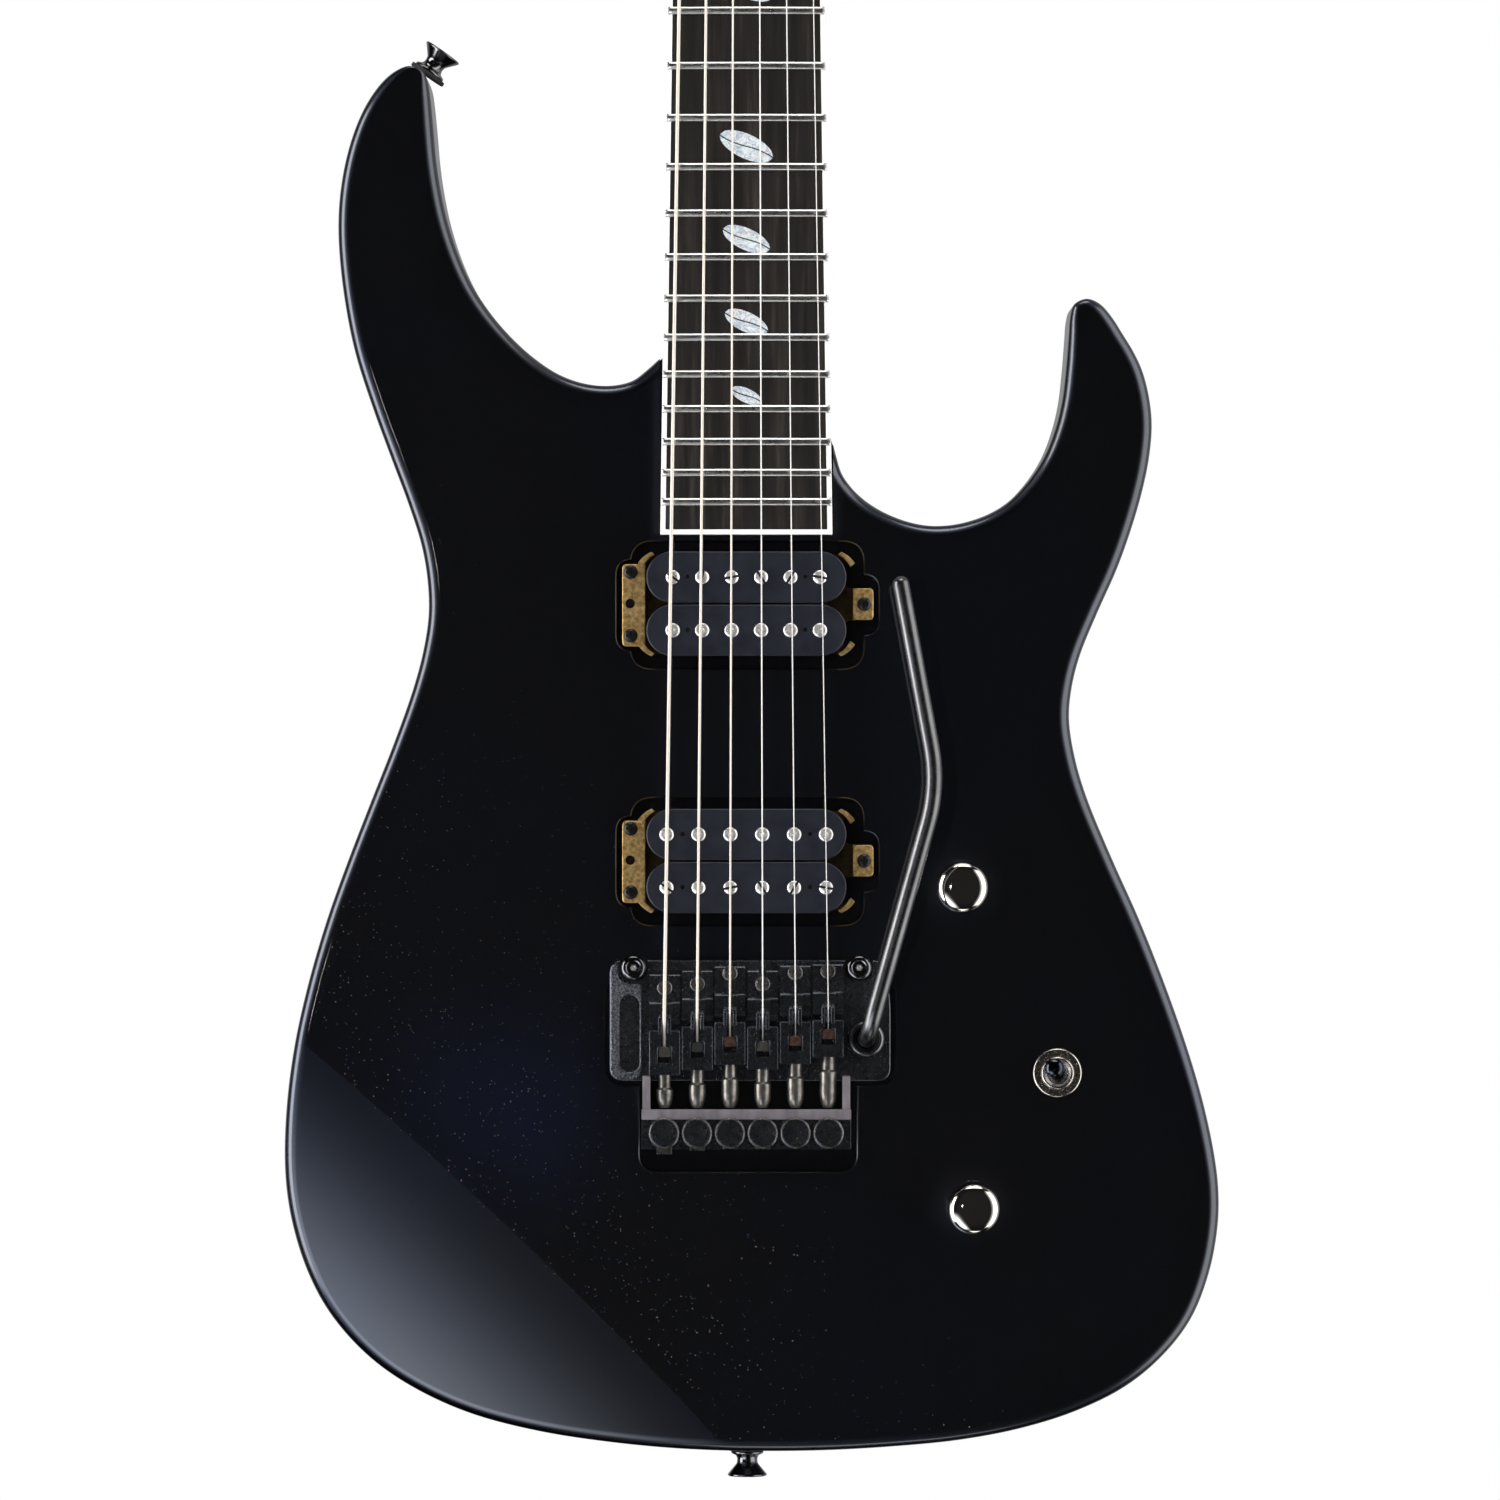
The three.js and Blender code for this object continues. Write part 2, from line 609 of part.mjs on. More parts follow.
// Low front foot, string ridge, tall clamp block at the back, and the lock bolt behind it.
function saddle({ front, rear }) {
  const seat = PLATE_TOP - GAP;
  const profile = [[front, seat], [front, seat - 3], [front - 9.2, seat - 3], [front - 10.4, seat - 6.4],
    [front - 12, seat - 8.1], [front - 14, seat - 8.2], [rear, seat - 7.6], [rear, seat]];
  const blockSolid = sideBar(profile, -SADDLE_WIDTH / 2, SADDLE_WIDTH / 2);
  const slot = block(-1.4, 1.4, -20, seat - 5.6, rear + 8, front - 8);
  const clampWindow = block(-2.25, 2.25, -20, seat - 2, rear + 4, rear + 9.2);
  const footRelief = [-1, 1].map((side) => {
    return block(side > 0 ? 3.4 : -6, side > 0 ? 6 : -3.4, -20, seat - 3, rear + 14, front);
  });
  return join(cut(blockSolid, slot, clampWindow, ...footRelief), lockBolt(rear));
}

// A bullet-ended bolt along the string line, from inside the saddle to BOLT_END.
function lockBolt(rear) {
  const length = rear + 1 - BOLT_END;
  const profile = [[0, 0], [1.5, 0.2], [2.75, 4], [2.75, length - 2.6], [2.2, length - 2.2], [2.2, length],
    [0, length]];
  const points = profile.map(([radius, along]) => new THREE.Vector2(radius, along));
  const bolt = new THREE.LatheGeometry(points, 10).rotateX(Math.PI / 2);
  return bolt.translate(0, PLATE_TOP - 4.4, BOLT_END);
}

function fineTuner() {
  const top = 17.6;
  return turned([[0, 6.2], [1.5, 6.2], [1.5, 12.7], [5, 12.7], [5, top - 0.4], [4.6, top], [0, top]]);
}

function bridgeStud() {
  const profile = [[0, -22], [3, -22], [3, 0.4], [3.8, 0.6], [3.8, 1.4], [3.3, 2], [3.3, 4], [4.15, 5.4],
    [4.15, 8.2], [3.8, 8.7], [0, 8.7]];
  return turned(profile);
}

function armCollar() {
  const top = 9.6;
  const seat = -PLATE_TOP + GAP;
  const points = [[3.4, seat], [6.1, seat], [6.1, top - 1], [5.6, top], [3.4, top], [3.4, seat]];
  return turned(points, 14);
}

// The bent arm: up out of its collar, over the body, then a straight grip that turns back inwards.
function tremoloArm() {
  const radius = 2.85;
  const route = new THREE.CurvePath();
  const foot = new THREE.Vector3(COLLAR.x, 1, COLLAR.y);
  const shoulder = new THREE.Vector3(COLLAR.x, -22, COLLAR.y);
  const bend = new THREE.Vector3(62.6, -35, -579.1);
  const tip = new THREE.Vector3(50.4, -38.5, -513.6);
  const blendLength = 9;
  const near = (from, to, length) => from.clone().add(to.clone().sub(from).setLength(length));
  route.add(new THREE.LineCurve3(foot, near(shoulder, foot, blendLength)));
  route.add(new THREE.QuadraticBezierCurve3(near(shoulder, foot, blendLength), shoulder,
    near(shoulder, bend, blendLength)));
  route.add(new THREE.LineCurve3(near(shoulder, bend, blendLength), near(bend, shoulder, 12)));
  route.add(new THREE.QuadraticBezierCurve3(near(bend, shoulder, 12), bend, near(bend, tip, 12)));
  route.add(new THREE.LineCurve3(near(bend, tip, 12), tip));
  const section = new THREE.Shape().absarc(0, 0, radius, 0, 2 * Math.PI, false);
  const rod = new THREE.ExtrudeGeometry(section, { steps: 30, extrudePath: route, curveSegments: 4 });
  const cap = new THREE.SphereGeometry(radius, 8, 6).translate(tip.x, tip.y, tip.z);
  return join(rod, cap);
}

// Three coil springs side by side, hooked to the claw plate at their neck end.
function clawAndSprings() {
  const claw = block(-26, 26, 33.5, 35.5, -565, -553);
  const coils = [-16, 0, 16].map((x) => {
    return new THREE.CylinderGeometry(4, 4, 80, 10).rotateX(Math.PI / 2).translate(x, 35, -603.5);
  });
  return join(claw, ...coils);
}

// ---- controls ----
function pot() {
  const profile = [[0, -17], [8.3, -17], [8.3, -TOP_WALL - 0.4], [3.5, -TOP_WALL - 0.4], [3.5, 0.3],
    [5, 0.3], [5, 2.4], [3, 2.4], [3, 11.5], [0, 11.5]];
  return turned(profile);
}

function knob() {
  const profile = [[3.4, 3.2], [6.6, 3.2], [6.6, 0.8], [8.65, 0.8], [8.65, 11.6], [8.1, 14], [6.4, 16.1],
    [3.5, 17.2], [0, 17.6], [0, 12.2], [3.4, 12.2], [3.4, 3.2]];
  return turned(profile, 18);
}

function toggleSwitch() {
  const profile = [[0, -16], [6, -16], [6, -TOP_WALL - 0.4], [3.1, -TOP_WALL - 0.4], [3.1, 0.3],
    [8.1, 0.3], [8.1, 1.2], [5.55, 1.5], [5.55, 3.6], [2.9, 3.6], [2.2, -3.5], [0, -3.5]];
  return turned(profile, 14);
}

function toggleLever() {
  return turned([[0, -1.8], [0.9, -1.6], [1.1, 3.4], [2.6, 8.6], [3.3, 11.4], [2.8, 13.4], [0, 14.4]], 10);
}

function outputJack() {
  const profile = [[0, -28], [3.6, -28], [3.6, 0], [9.8, 0], [9.8, -2], [5.9, -2], [5.9, -32], [0, -32]];
  const points = profile.map(([radius, along]) => new THREE.Vector2(radius, along)).reverse();
  return new THREE.LatheGeometry(points, 14).rotateZ(-Math.PI / 2);
}

function neckPlate() {
  return slab(roundedRectangle(-20, 20, -501, -458, 4), BODY_DEPTH + GAP, BODY_DEPTH + 2.3);
}

function springCover() {
  return slab(springCoverOutline(0), BODY_DEPTH - CAVITY_LID, BODY_DEPTH);
}

function controlCover() {
  return slab(controlCoverOutline(0), BODY_DEPTH - CAVITY_LID, BODY_DEPTH);
}

// ---- strings ----
// The speaking length, from the nut's front edge to the saddle's ridge.
function speakingString(index) {
  const radius = STRING_DIAMETERS[index] / 2;
  const end = SADDLES[index].front - 13;
  const from = new THREE.Vector3(stringX(index, -0.2), stringY(-0.2), -0.2);
  const to = new THREE.Vector3(stringX(index, end), stringY(end), end);
  const section = new THREE.Shape().absarc(0, 0, radius, 0, 2 * Math.PI, false);
  return new THREE.ExtrudeGeometry(section, {
    steps: 1,
    extrudePath: new THREE.LineCurve3(from, to),
    curveSegments: 3,
  });
}

// ---- assembly ----
const guitar = new THREE.Group();

function add(parent, name, geometry, material, place = {}) {
  const mesh = new THREE.Mesh(geometry, material);
  mesh.name = name;
  mesh.position.set(place.x ?? 0, place.y ?? 0, place.z ?? 0);
  parent.add(mesh);
  return mesh;
}

function addTuners() {
  const head = new THREE.Group();
  head.position.copy(HEAD_PIVOT);
  head.rotation.x = -HEAD_TILT;
  guitar.add(head);
  add(head, "tuner_housings", tunerHousings(), FINISHES.blackMetal());
  tunerSpots().forEach((spot, index) => {
    const number = index + 1;
    add(head, `tuner_post_${number}`, tunerPost(), FINISHES.blackMetal(), { x: spot.x, z: spot.y });
    const button = add(head, `tuner_button_${number}`, tunerButton(), FINISHES.blackMetal(),
      { x: spot.x, y: SHAFT_Y, z: spot.y });
    button.rotation.y = POST_LINE_ANGLE;
  });
}

function addPickup(name, centreZ, topY) {
  add(guitar, `${name}_baseplate`, pickupBaseplate(topY), FINISHES.brass(), { z: centreZ });
  add(guitar, `${name}_coils`, pickupCoils(topY), FINISHES.blackPlastic(), { z: centreZ });
}

function addTremolo() {
  add(guitar, "bass_bridge_stud", bridgeStud(), FINISHES.blackMetal(), { x: -STUD_X, z: STUD_Z });
  add(guitar, "treble_bridge_stud", bridgeStud(), FINISHES.blackMetal(), { x: STUD_X, z: STUD_Z });
  add(guitar, "bridge_plate", bridgePlate(), FINISHES.blackMetal());
  add(guitar, "sustain_block", sustainBlock(), FINISHES.steel());
  add(guitar, "arm_collar", armCollar(), FINISHES.blackMetal(), { x: COLLAR.x, z: COLLAR.y });
  add(guitar, "tremolo_arm", tremoloArm(), FINISHES.blackMetal());
  SADDLES.forEach((place, index) => {
    const number = index + 1;
    const x = stringX(index, -SCALE_LENGTH);
    add(guitar, `saddle_${number}`, saddle(place), FINISHES.blackMetal(), { x });
    add(guitar, `fine_tuner_${number}`, fineTuner(), FINISHES.blackMetal(),
      { x: fineTunerSpots()[index], z: FINE_TUNER_Z });
  });
  add(guitar, "claw_and_springs", clawAndSprings(), FINISHES.steel());
}

function addControls() {
  add(guitar, "volume_pot", pot(), FINISHES.steel(), { x: VOLUME_KNOB.x, z: VOLUME_KNOB.y });
  add(guitar, "tone_pot", pot(), FINISHES.steel(), { x: TONE_KNOB.x, z: TONE_KNOB.y });
  add(guitar, "volume_knob", knob(), FINISHES.nickel(), { x: VOLUME_KNOB.x, z: VOLUME_KNOB.y });
  add(guitar, "tone_knob", knob(), FINISHES.nickel(), { x: TONE_KNOB.x, z: TONE_KNOB.y });
  add(guitar, "toggle_switch", toggleSwitch(), FINISHES.nickel(), { x: TOGGLE.x, z: TOGGLE.y });
  const lever = add(guitar, "toggle_lever", toggleLever(), FINISHES.blackMetal(), { x: TOGGLE.x, z: TOGGLE.y });
  const leanAxis = new THREE.Vector3(-Math.sin(TOGGLE_HEADING), 0, Math.cos(TOGGLE_HEADING));
  lever.quaternion.setFromAxisAngle(leanAxis, -TOGGLE_TILT);
  add(guitar, "output_jack", outputJack(), FINISHES.steel(),
    { x: JACK_FACE_X, y: BODY_DEPTH / 2, z: JACK_Z });
}

function addNeck() {
  add(guitar, "neck", neck(), FINISHES.maple());
  add(guitar, "fretboard", fretboard(), FINISHES.ebony());
  add(guitar, "fretboard_binding", fretboardBinding(), FINISHES.binding());
  add(guitar, "frets", frets(), FINISHES.fretWire());
  add(guitar, "locking_nut", lockingNut(), FINISHES.blackMetal());
  add(guitar, "neck_plate", neckPlate(), FINISHES.blackMetal());
}

function addBody() {
  add(guitar, "body", body(), FINISHES.lacquer());
  add(guitar, "spring_cover", springCover(), FINISHES.blackPlastic());
  add(guitar, "control_cover", controlCover(), FINISHES.blackPlastic());
  STRAP_BUTTONS.forEach(({ name, seat, out }) => {
    add(guitar, name, placeAlong(strapButton(), seat, out), FINISHES.blackMetal());
  });
}

function addStrings() {
  for (let index = 0; index < STRING_COUNT; index += 1) {
    add(guitar, `string_${index + 1}`, speakingString(index), FINISHES.stringWire());
  }
}

addBody();
addNeck();
addTuners();
addPickup("neck_pickup", NECK_PICKUP_Z, PICKUP_TOP_AT_NECK);
addPickup("bridge_pickup", BRIDGE_PICKUP_Z, PICKUP_TOP_AT_BRIDGE);
addTremolo();
addControls();
addStrings();

export default guitar;
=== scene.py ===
# The looks of a solid-body electric guitar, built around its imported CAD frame.
# Metres, +Z up the neck, +X to the treble side, the front faces -Y. Profiles are in millimetres.
import json
import math

import bmesh
import bpy
import numpy as np
from mathutils import Matrix, Vector


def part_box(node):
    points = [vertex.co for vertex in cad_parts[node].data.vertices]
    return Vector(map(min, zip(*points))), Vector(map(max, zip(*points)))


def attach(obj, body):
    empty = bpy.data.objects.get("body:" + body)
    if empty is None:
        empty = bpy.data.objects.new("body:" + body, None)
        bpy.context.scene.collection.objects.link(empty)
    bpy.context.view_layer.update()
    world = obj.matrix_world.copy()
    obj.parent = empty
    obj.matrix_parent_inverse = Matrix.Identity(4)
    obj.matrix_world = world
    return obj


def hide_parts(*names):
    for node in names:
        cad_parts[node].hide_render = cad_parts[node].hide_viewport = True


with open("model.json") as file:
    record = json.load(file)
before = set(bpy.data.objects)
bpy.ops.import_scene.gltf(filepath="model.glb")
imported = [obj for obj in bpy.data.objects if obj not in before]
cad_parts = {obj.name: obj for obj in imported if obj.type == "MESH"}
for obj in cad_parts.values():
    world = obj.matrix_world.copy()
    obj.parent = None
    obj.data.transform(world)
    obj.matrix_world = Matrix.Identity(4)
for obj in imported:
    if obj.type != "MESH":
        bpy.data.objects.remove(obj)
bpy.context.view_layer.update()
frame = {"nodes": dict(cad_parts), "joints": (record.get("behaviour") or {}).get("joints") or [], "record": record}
JOINTS = {joint["name"]: joint for joint in frame["joints"]}

MM = 0.001
FRONT = Vector((0, -1, 0))
DOWN = Vector((0, 0, -1))

# ---- driving dimensions ----
SCALE_LENGTH = 647.7 * MM
FRET_COUNT = 24
STRING_COUNT = 6
WOUND_COUNT = 3
INLAY_FRETS = (3, 5, 7, 9, 12, 15, 17, 19, 21)
NECK_FRONT = -2.5 * MM
BOARD_THICKNESS = 6 * MM
CROWN_RADIUS = 350 * MM
NUT_WIDTH = 43 * MM
BINDING_WIDTH = 1.75 * MM
EDGE_RADIUS = 4 * MM
STRING_DIAMETERS = [d * MM for d in (1.17, 0.91, 0.66, 0.46, 0.38, 0.30)]
NUT_SPREAD = 34.8 * MM
BRIDGE_SPREAD = 53.8 * MM
STRING_Y_AT_NUT = -10.1 * MM
STRING_Y_AT_BRIDGE = -13.5 * MM
HEAD_TILT = math.radians(10)
HEAD_THICKNESS = 14 * MM
COIL_SPACING = 8.75 * MM
SPRING_RADIUS = 3.4
SPRING_TURNS = 22
ARM_RADIUS = 2.85 * MM
CAMERA_X = 1.2 * MM
CAMERA_Z = -567.6 * MM
FRAME_SIDE = 495.8 * MM

BODY_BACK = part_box("body")[1].y
board_low, board_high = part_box("fretboard_binding")
BOARD_END = board_low.z
BOARD_END_WIDTH = board_high.x - board_low.x
plate_low, plate_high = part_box("bridge_plate")
PLATE_TOP = -4.6 * MM
PANEL_X = -38.5 * MM
PANEL_Z = -661.2 * MM


# ---- points and lines ----
def at(x, y, z):
    return Vector((x * MM, y * MM, z * MM))


def line_mm(*points):
    return [Vector((a * MM, b * MM)) for a, b in points]


def eased(corners, radius, steps=5, closed=True):
    """The same line with its corners rounded off over a length of radius."""
    line = []
    count = len(corners)
    for i, corner in enumerate(corners):
        if not closed and i in (0, count - 1):
            line.append(corner)
            continue
        before = corners[i - 1] - corner
        after = corners[(i + 1) % count] - corner
        reach = min(radius, before.length * 0.49, after.length * 0.49)
        start = corner + before.normalized() * reach
        end = corner + after.normalized() * reach
        for step in range(steps + 1):
            t = step / steps
            line.append(start * (1 - t) ** 2 + corner * 2 * t * (1 - t) + end * t**2)
    return line


def rectangle(low_x, high_x, low_z, high_z, radius=0.0, steps=5):
    corners = [Vector((low_x, low_z)), Vector((high_x, low_z)), Vector((high_x, high_z)),
               Vector((low_x, high_z))]
    return eased(corners, radius, steps) if radius else corners


def stadium(length, width, centre_x=0.0, centre_z=0.0, sides=24):
    reach = (length - width) / 2
    line = []
    for i in range(2 * sides):
        angle = -math.pi / 2 + math.pi * (i % sides) / (sides - 1) + (math.pi if i >= sides else 0)
        side = 1 if i < sides else -1
        line.append(Vector((centre_x + side * reach + width / 2 * math.cos(angle),
                            centre_z + width / 2 * math.sin(angle))))
    return line


def normals_of(outline):
    """Outward unit normals at a closed outline's points, with the stretch that a mitred offset needs."""
    points = np.array([tuple(point) for point in outline])
    before = points - np.roll(points, 1, 0)
    after = np.roll(points, -1, 0) - points
    before /= np.maximum(np.linalg.norm(before, axis=1), 1e-12)[:, None]
    after /= np.maximum(np.linalg.norm(after, axis=1), 1e-12)[:, None]
    along = before + after
    along /= np.maximum(np.linalg.norm(along, axis=1), 1e-12)[:, None]
    x, z = points[:, 0], points[:, 1]
    area = (x * np.roll(z, -1) - np.roll(x, -1) * z).sum()
    normals = np.stack([along[:, 1], -along[:, 0]], 1) * (1 if area > 0 else -1)
    stretch = 1 / np.clip((along * before).sum(1), 0.6, 1)
    return points, normals, stretch


def offset(outline, distance):
    """A closed outline moved outwards by distance, or inwards where that is negative."""
    points, normals, stretch = normals_of(outline)
    return [Vector(point) for point in points + normals * (stretch * distance)[:, None]]


def smooth_loop(points, steps):
    """A closed centripetal Catmull-Rom curve through the points, with that many steps between two."""
    points = [np.array(tuple(point)) for point in points]
    count = len(points)
    line = []
    for i in range(count):
        a, b, c, d = (points[(i + k) % count] for k in (-1, 0, 1, 2))
        t1 = np.linalg.norm(b - a) ** 0.5
        t2 = t1 + np.linalg.norm(c - b) ** 0.5
        t3 = t2 + np.linalg.norm(d - c) ** 0.5
        for step in range(steps):
            t = t1 + (t2 - t1) * step / steps
            ab = a * (t1 - t) / t1 + b * t / t1
            bc = b * (t2 - t) / (t2 - t1) + c * (t - t1) / (t2 - t1)
            cd = c * (t3 - t) / (t3 - t2) + d * (t - t2) / (t3 - t2)
            abc = ab * (t2 - t) / t2 + bc * t / t2
            bcd = bc * (t3 - t) / (t3 - t1) + cd * (t - t1) / (t3 - t1)
            line.append(Vector(abc * (t2 - t) / (t2 - t1) + bcd * (t - t1) / (t2 - t1)))
    return line


def cad_outline(node, depth):
    """The largest loop, as (x, z) points in order, where the plane y = depth cuts a CAD node."""
    cut = bmesh.new()
    cut.from_mesh(frame["nodes"][node].data)
    bmesh.ops.remove_doubles(cut, verts=cut.verts, dist=1e-6)
    everything = [*cut.verts, *cut.edges, *cut.faces]
    found = bmesh.ops.bisect_plane(cut, geom=everything, plane_co=(0, depth, 0), plane_no=(0, 1, 0))
    edges = [item for item in found["geom_cut"] if isinstance(item, bmesh.types.BMEdge)]
    links = {}
    for edge in edges:
        a, b = edge.verts
        links.setdefault(a, []).append(b)
        links.setdefault(b, []).append(a)
    loops = []
    while links:
        start = next(iter(links))
        loop, here = [], start
        while here in links:
            nexts = links.pop(here)
            loop.append(Vector((here.co.x, here.co.z)))
            here = next((v for v in nexts if v in links), start)
        loops.append(loop)
    cut.free()
    largest = max(loops, key=lambda loop: max(p.x for p in loop) - min(p.x for p in loop))
    turning = math.radians(0.1)
    kept = []
    for i, point in enumerate(largest):
        into = point - (kept[-1] if kept else largest[i - 1])
        out = largest[(i + 1) % len(largest)] - point
        if into.length > 1e-6 and out.length > 1e-6 and into.angle(out) > turning:
            kept.append(point)
    return kept


# ---- meshes ----
def add_mesh(name, points, faces):
    mesh = bpy.data.meshes.new(name)
    mesh.from_pydata([tuple(point) for point in points], [], faces)
    tidy = bmesh.new()
    tidy.from_mesh(mesh)
    bmesh.ops.remove_doubles(tidy, verts=tidy.verts, dist=1e-7)
    bmesh.ops.recalc_face_normals(tidy, faces=tidy.faces)
    tidy.to_mesh(mesh)
    tidy.free()
    piece = bpy.data.objects.new(name, mesh)
    bpy.context.scene.collection.objects.link(piece)
    return piece


def band(count, row, faces, close=True):
    """The quads between one ring of count points and the next."""
    for i in range(count if close else count - 1):
        a = row * count + i
        b = row * count + (i + 1) % count
        faces.append((a, b, b + count, a + count))


def skin(name, rings, hollow=False):
    """A closed skin over rings of equally many points. A hollow one joins its last ring to its first."""
    count = len(rings[0])
    faces = []
    for row in range(len(rings) - 1):
        band(count, row, faces)
    last = (len(rings) - 1) * count
    if hollow:
        faces += [(last + i, last + (i + 1) % count, (i + 1) % count, i) for i in range(count)]
    else:
        faces += [tuple(range(count)), tuple(range(last, last + count))]
    return add_mesh(name, [point for ring in rings for point in ring], faces)


def level(outline, y):
    return [Vector((point.x, y, point.y)) for point in outline]


def prism(name, outline, front, back):
    """A front-view outline given plain square-edged thickness, as a cutting tool."""
    return skin(name, [level(outline, y) for y in (front, back)])


def hexagon(radius, direction):
    """Six corners round the origin, square to a direction."""
    turn = direction.to_track_quat("Z", "Y")
    angles = [math.pi / 3 * i for i in range(6)]
    return [turn @ Vector((radius * math.cos(a), radius * math.sin(a), 0)) for a in angles]


def face_centre(node):
    """The point on the body's front face straight behind the middle of a CAD node."""
    low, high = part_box(node)
    return Vector(((low.x + high.x) / 2, 0, (low.z + high.z) / 2))


def plate(name, outline, front, back, edge=0.3 * MM, steps=3):
    """A front-view outline given thickness from front to back, with its edges rounded."""
    rings = []
    for step in range(steps + 1):
        angle = math.pi / 2 * step / steps
        rings.append((edge * (1 - math.sin(angle)), edge * (1 - math.cos(angle))))
    fronts = [level(offset(outline, -inset), front + depth) for inset, depth in rings]
    backs = [level(offset(outline, -inset), back - depth) for inset, depth in reversed(rings)]
    return skin(name, fronts + backs)


def block(name, low, high, edge=0.3 * MM):
    """A box with rounded edges between two corners."""
    return soften(prism(name, rectangle(low.x, high.x, low.z, high.z), low.y, high.y), edge)


def side_bar(name, corners, low_x, high_x):
    """A side-view outline of (z, y) points given width from low_x to high_x."""
    return skin(name, [[Vector((x, y, z)) for z, y in corners] for x in (low_x, high_x)])


def cutter(name, outline, mouth, floor, lip=0.7 * MM, steps=5):
    """What a rout removes: straight walls down to floor, and a lip that rounds the rout's rim."""
    inward = 1 if floor > mouth else -1
    start = mouth - inward * 0.01 * MM
    rings = [level(offset(outline, lip), mouth - inward * 2 * MM)]
    for step in range(steps + 1):
        angle = math.pi / 2 * step / steps
        rings.append(level(offset(outline, lip * (1 - math.sin(angle))),
                           start + inward * lip * (1 - math.cos(angle))))
    rings.append(level(outline, floor))
    return skin(name, rings)


def turned(name, profile, foot, direction=FRONT, sides=48, hollow=False):
    """A turned piece of (radius, height) pairs in metres, along direction from foot."""
    turn = direction.to_track_quat("Z", "Y")
    rings = []
    angles = [2 * math.pi * i / sides for i in range(sides)]
    for radius, height in profile:
        ring = [Vector((radius * math.cos(a), radius * math.sin(a), height)) for a in angles]
        rings.append([foot + turn @ point for point in ring])
    return skin(name, rings, hollow)


def turned_mm(name, profile, foot, direction=FRONT, ease=0.0, sides=48, hollow=False):
    """The same from millimetre pairs, with every inner corner eased."""
    line = line_mm(*profile)
    if ease:
        line = eased(line, ease * MM, 3, closed=hollow)
    return turned(name, line, foot, direction, sides, hollow)


def drill(name, foot, direction, radius, depth, sides=32):
    return turned(name, [(radius, -2 * MM), (radius, depth)], foot, direction, sides)


def tube(name, route, radii, sides=16):
    """A round bar along a line of points, with one radius or one for each point."""
    radii = [radii] * len(route) if isinstance(radii, float) else radii
    tangents = []
    for i in range(len(route)):
        ahead = route[min(i + 1, len(route) - 1)] - route[max(i - 1, 0)]
        tangents.append(ahead.normalized())
    side = tangents[0].orthogonal().normalized()
    rings = []
    for point, tangent, radius in zip(route, tangents, radii):
        side = (side - tangent * side.dot(tangent)).normalized()
        other = tangent.cross(side)
        angles = [2 * math.pi * i / sides for i in range(sides)]
        rings.append([point + side * (radius * math.cos(a)) + other * (radius * math.sin(a)) for a in angles])
    return skin(name, rings)


def bake(piece):
    """Makes a piece's modifiers part of its mesh."""
    graph = bpy.context.evaluated_depsgraph_get()
    mesh = bpy.data.meshes.new_from_object(piece.evaluated_get(graph))
    piece.modifiers.clear()
    piece.data = mesh
    return piece


def boolean(piece, tools, operation="DIFFERENCE"):
    for tool in tools:
        modifier = piece.modifiers.new(tool.name, "BOOLEAN")
        modifier.operation = operation
        modifier.solver = "EXACT"
        modifier.object = tool
    bake(piece)
    for tool in tools:
        bpy.data.objects.remove(tool)
    return piece


def soften(piece, width, segments=2, angle=35):
    modifier = piece.modifiers.new("edge", "BEVEL")
    modifier.width = width
    modifier.segments = segments
    modifier.limit_method = "ANGLE"
    modifier.angle_limit = math.radians(angle)
    return piece


def merge(name, pieces):
    """Several closed shells as one piece."""
    whole = bmesh.new()
    for piece in pieces:
        bake(piece)
        whole.from_mesh(piece.data)
        bpy.data.objects.remove(piece)
    mesh = bpy.data.meshes.new(name)
    whole.to_mesh(mesh)
    whole.free()
    made = bpy.data.objects.new(name, mesh)
    bpy.context.scene.collection.objects.link(made)
    return made


def settle(piece, body, slot, material, *nodes, angle=35):
    """Shades a finished piece, gives it its finish and puts it on its body, in place of any CAD nodes."""
    bake(piece)
    piece.data.materials.clear()
    piece.data.materials.append(material)
    piece.data.shade_smooth()
    piece.data.set_sharp_from_angle(angle=math.radians(angle))
    even = piece.modifiers.new("even", "WEIGHTED_NORMAL")
    even.keep_sharp = True
    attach(piece, body)
    if nodes:
        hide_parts(*nodes)
    return piece


# ---- finishes ----
def add_node(tree, kind, inputs=None, **settings):
    """A shader node with its settings, and its inputs as plain values or as sockets to link."""
    node = tree.nodes.new(kind)
    for key, value in settings.items():
        setattr(node, key, value)
    for key, value in (inputs or {}).items():
        if isinstance(value, bpy.types.NodeSocket):
            tree.links.new(value, node.inputs[key])
        else:
            node.inputs[key].default_value = value
    return node


def new_material(name):
    made = bpy.data.materials.new(name)
    made.use_nodes = True
    tree = made.node_tree
    return made, tree, tree.nodes["Principled BSDF"]


def object_space(tree, stretch=(1, 1, 1)):
    place = add_node(tree, "ShaderNodeTexCoord").outputs["Object"]
    return add_node(tree, "ShaderNodeMapping", {"Vector": place, "Scale": stretch}).outputs["Vector"]


def noise(tree, place, scale, detail=4.0, roughness=0.55, distortion=0.0):
    inputs = {"Vector": place, "Scale": scale, "Detail": detail, "Roughness": roughness,
              "Distortion": distortion}
    return add_node(tree, "ShaderNodeTexNoise", inputs).outputs["Fac"]


def ramp(tree, fac, *stops):
    """A colour ramp: (position, linear colour) stops."""
    node = add_node(tree, "ShaderNodeValToRGB", {"Fac": fac})
    elements = node.color_ramp.elements
    while len(elements) < len(stops):
        elements.new(0.5)
    for element, (position, color) in zip(elements, stops):
        element.position = position
        element.color = (*color, 1)
    return node.outputs["Color"]


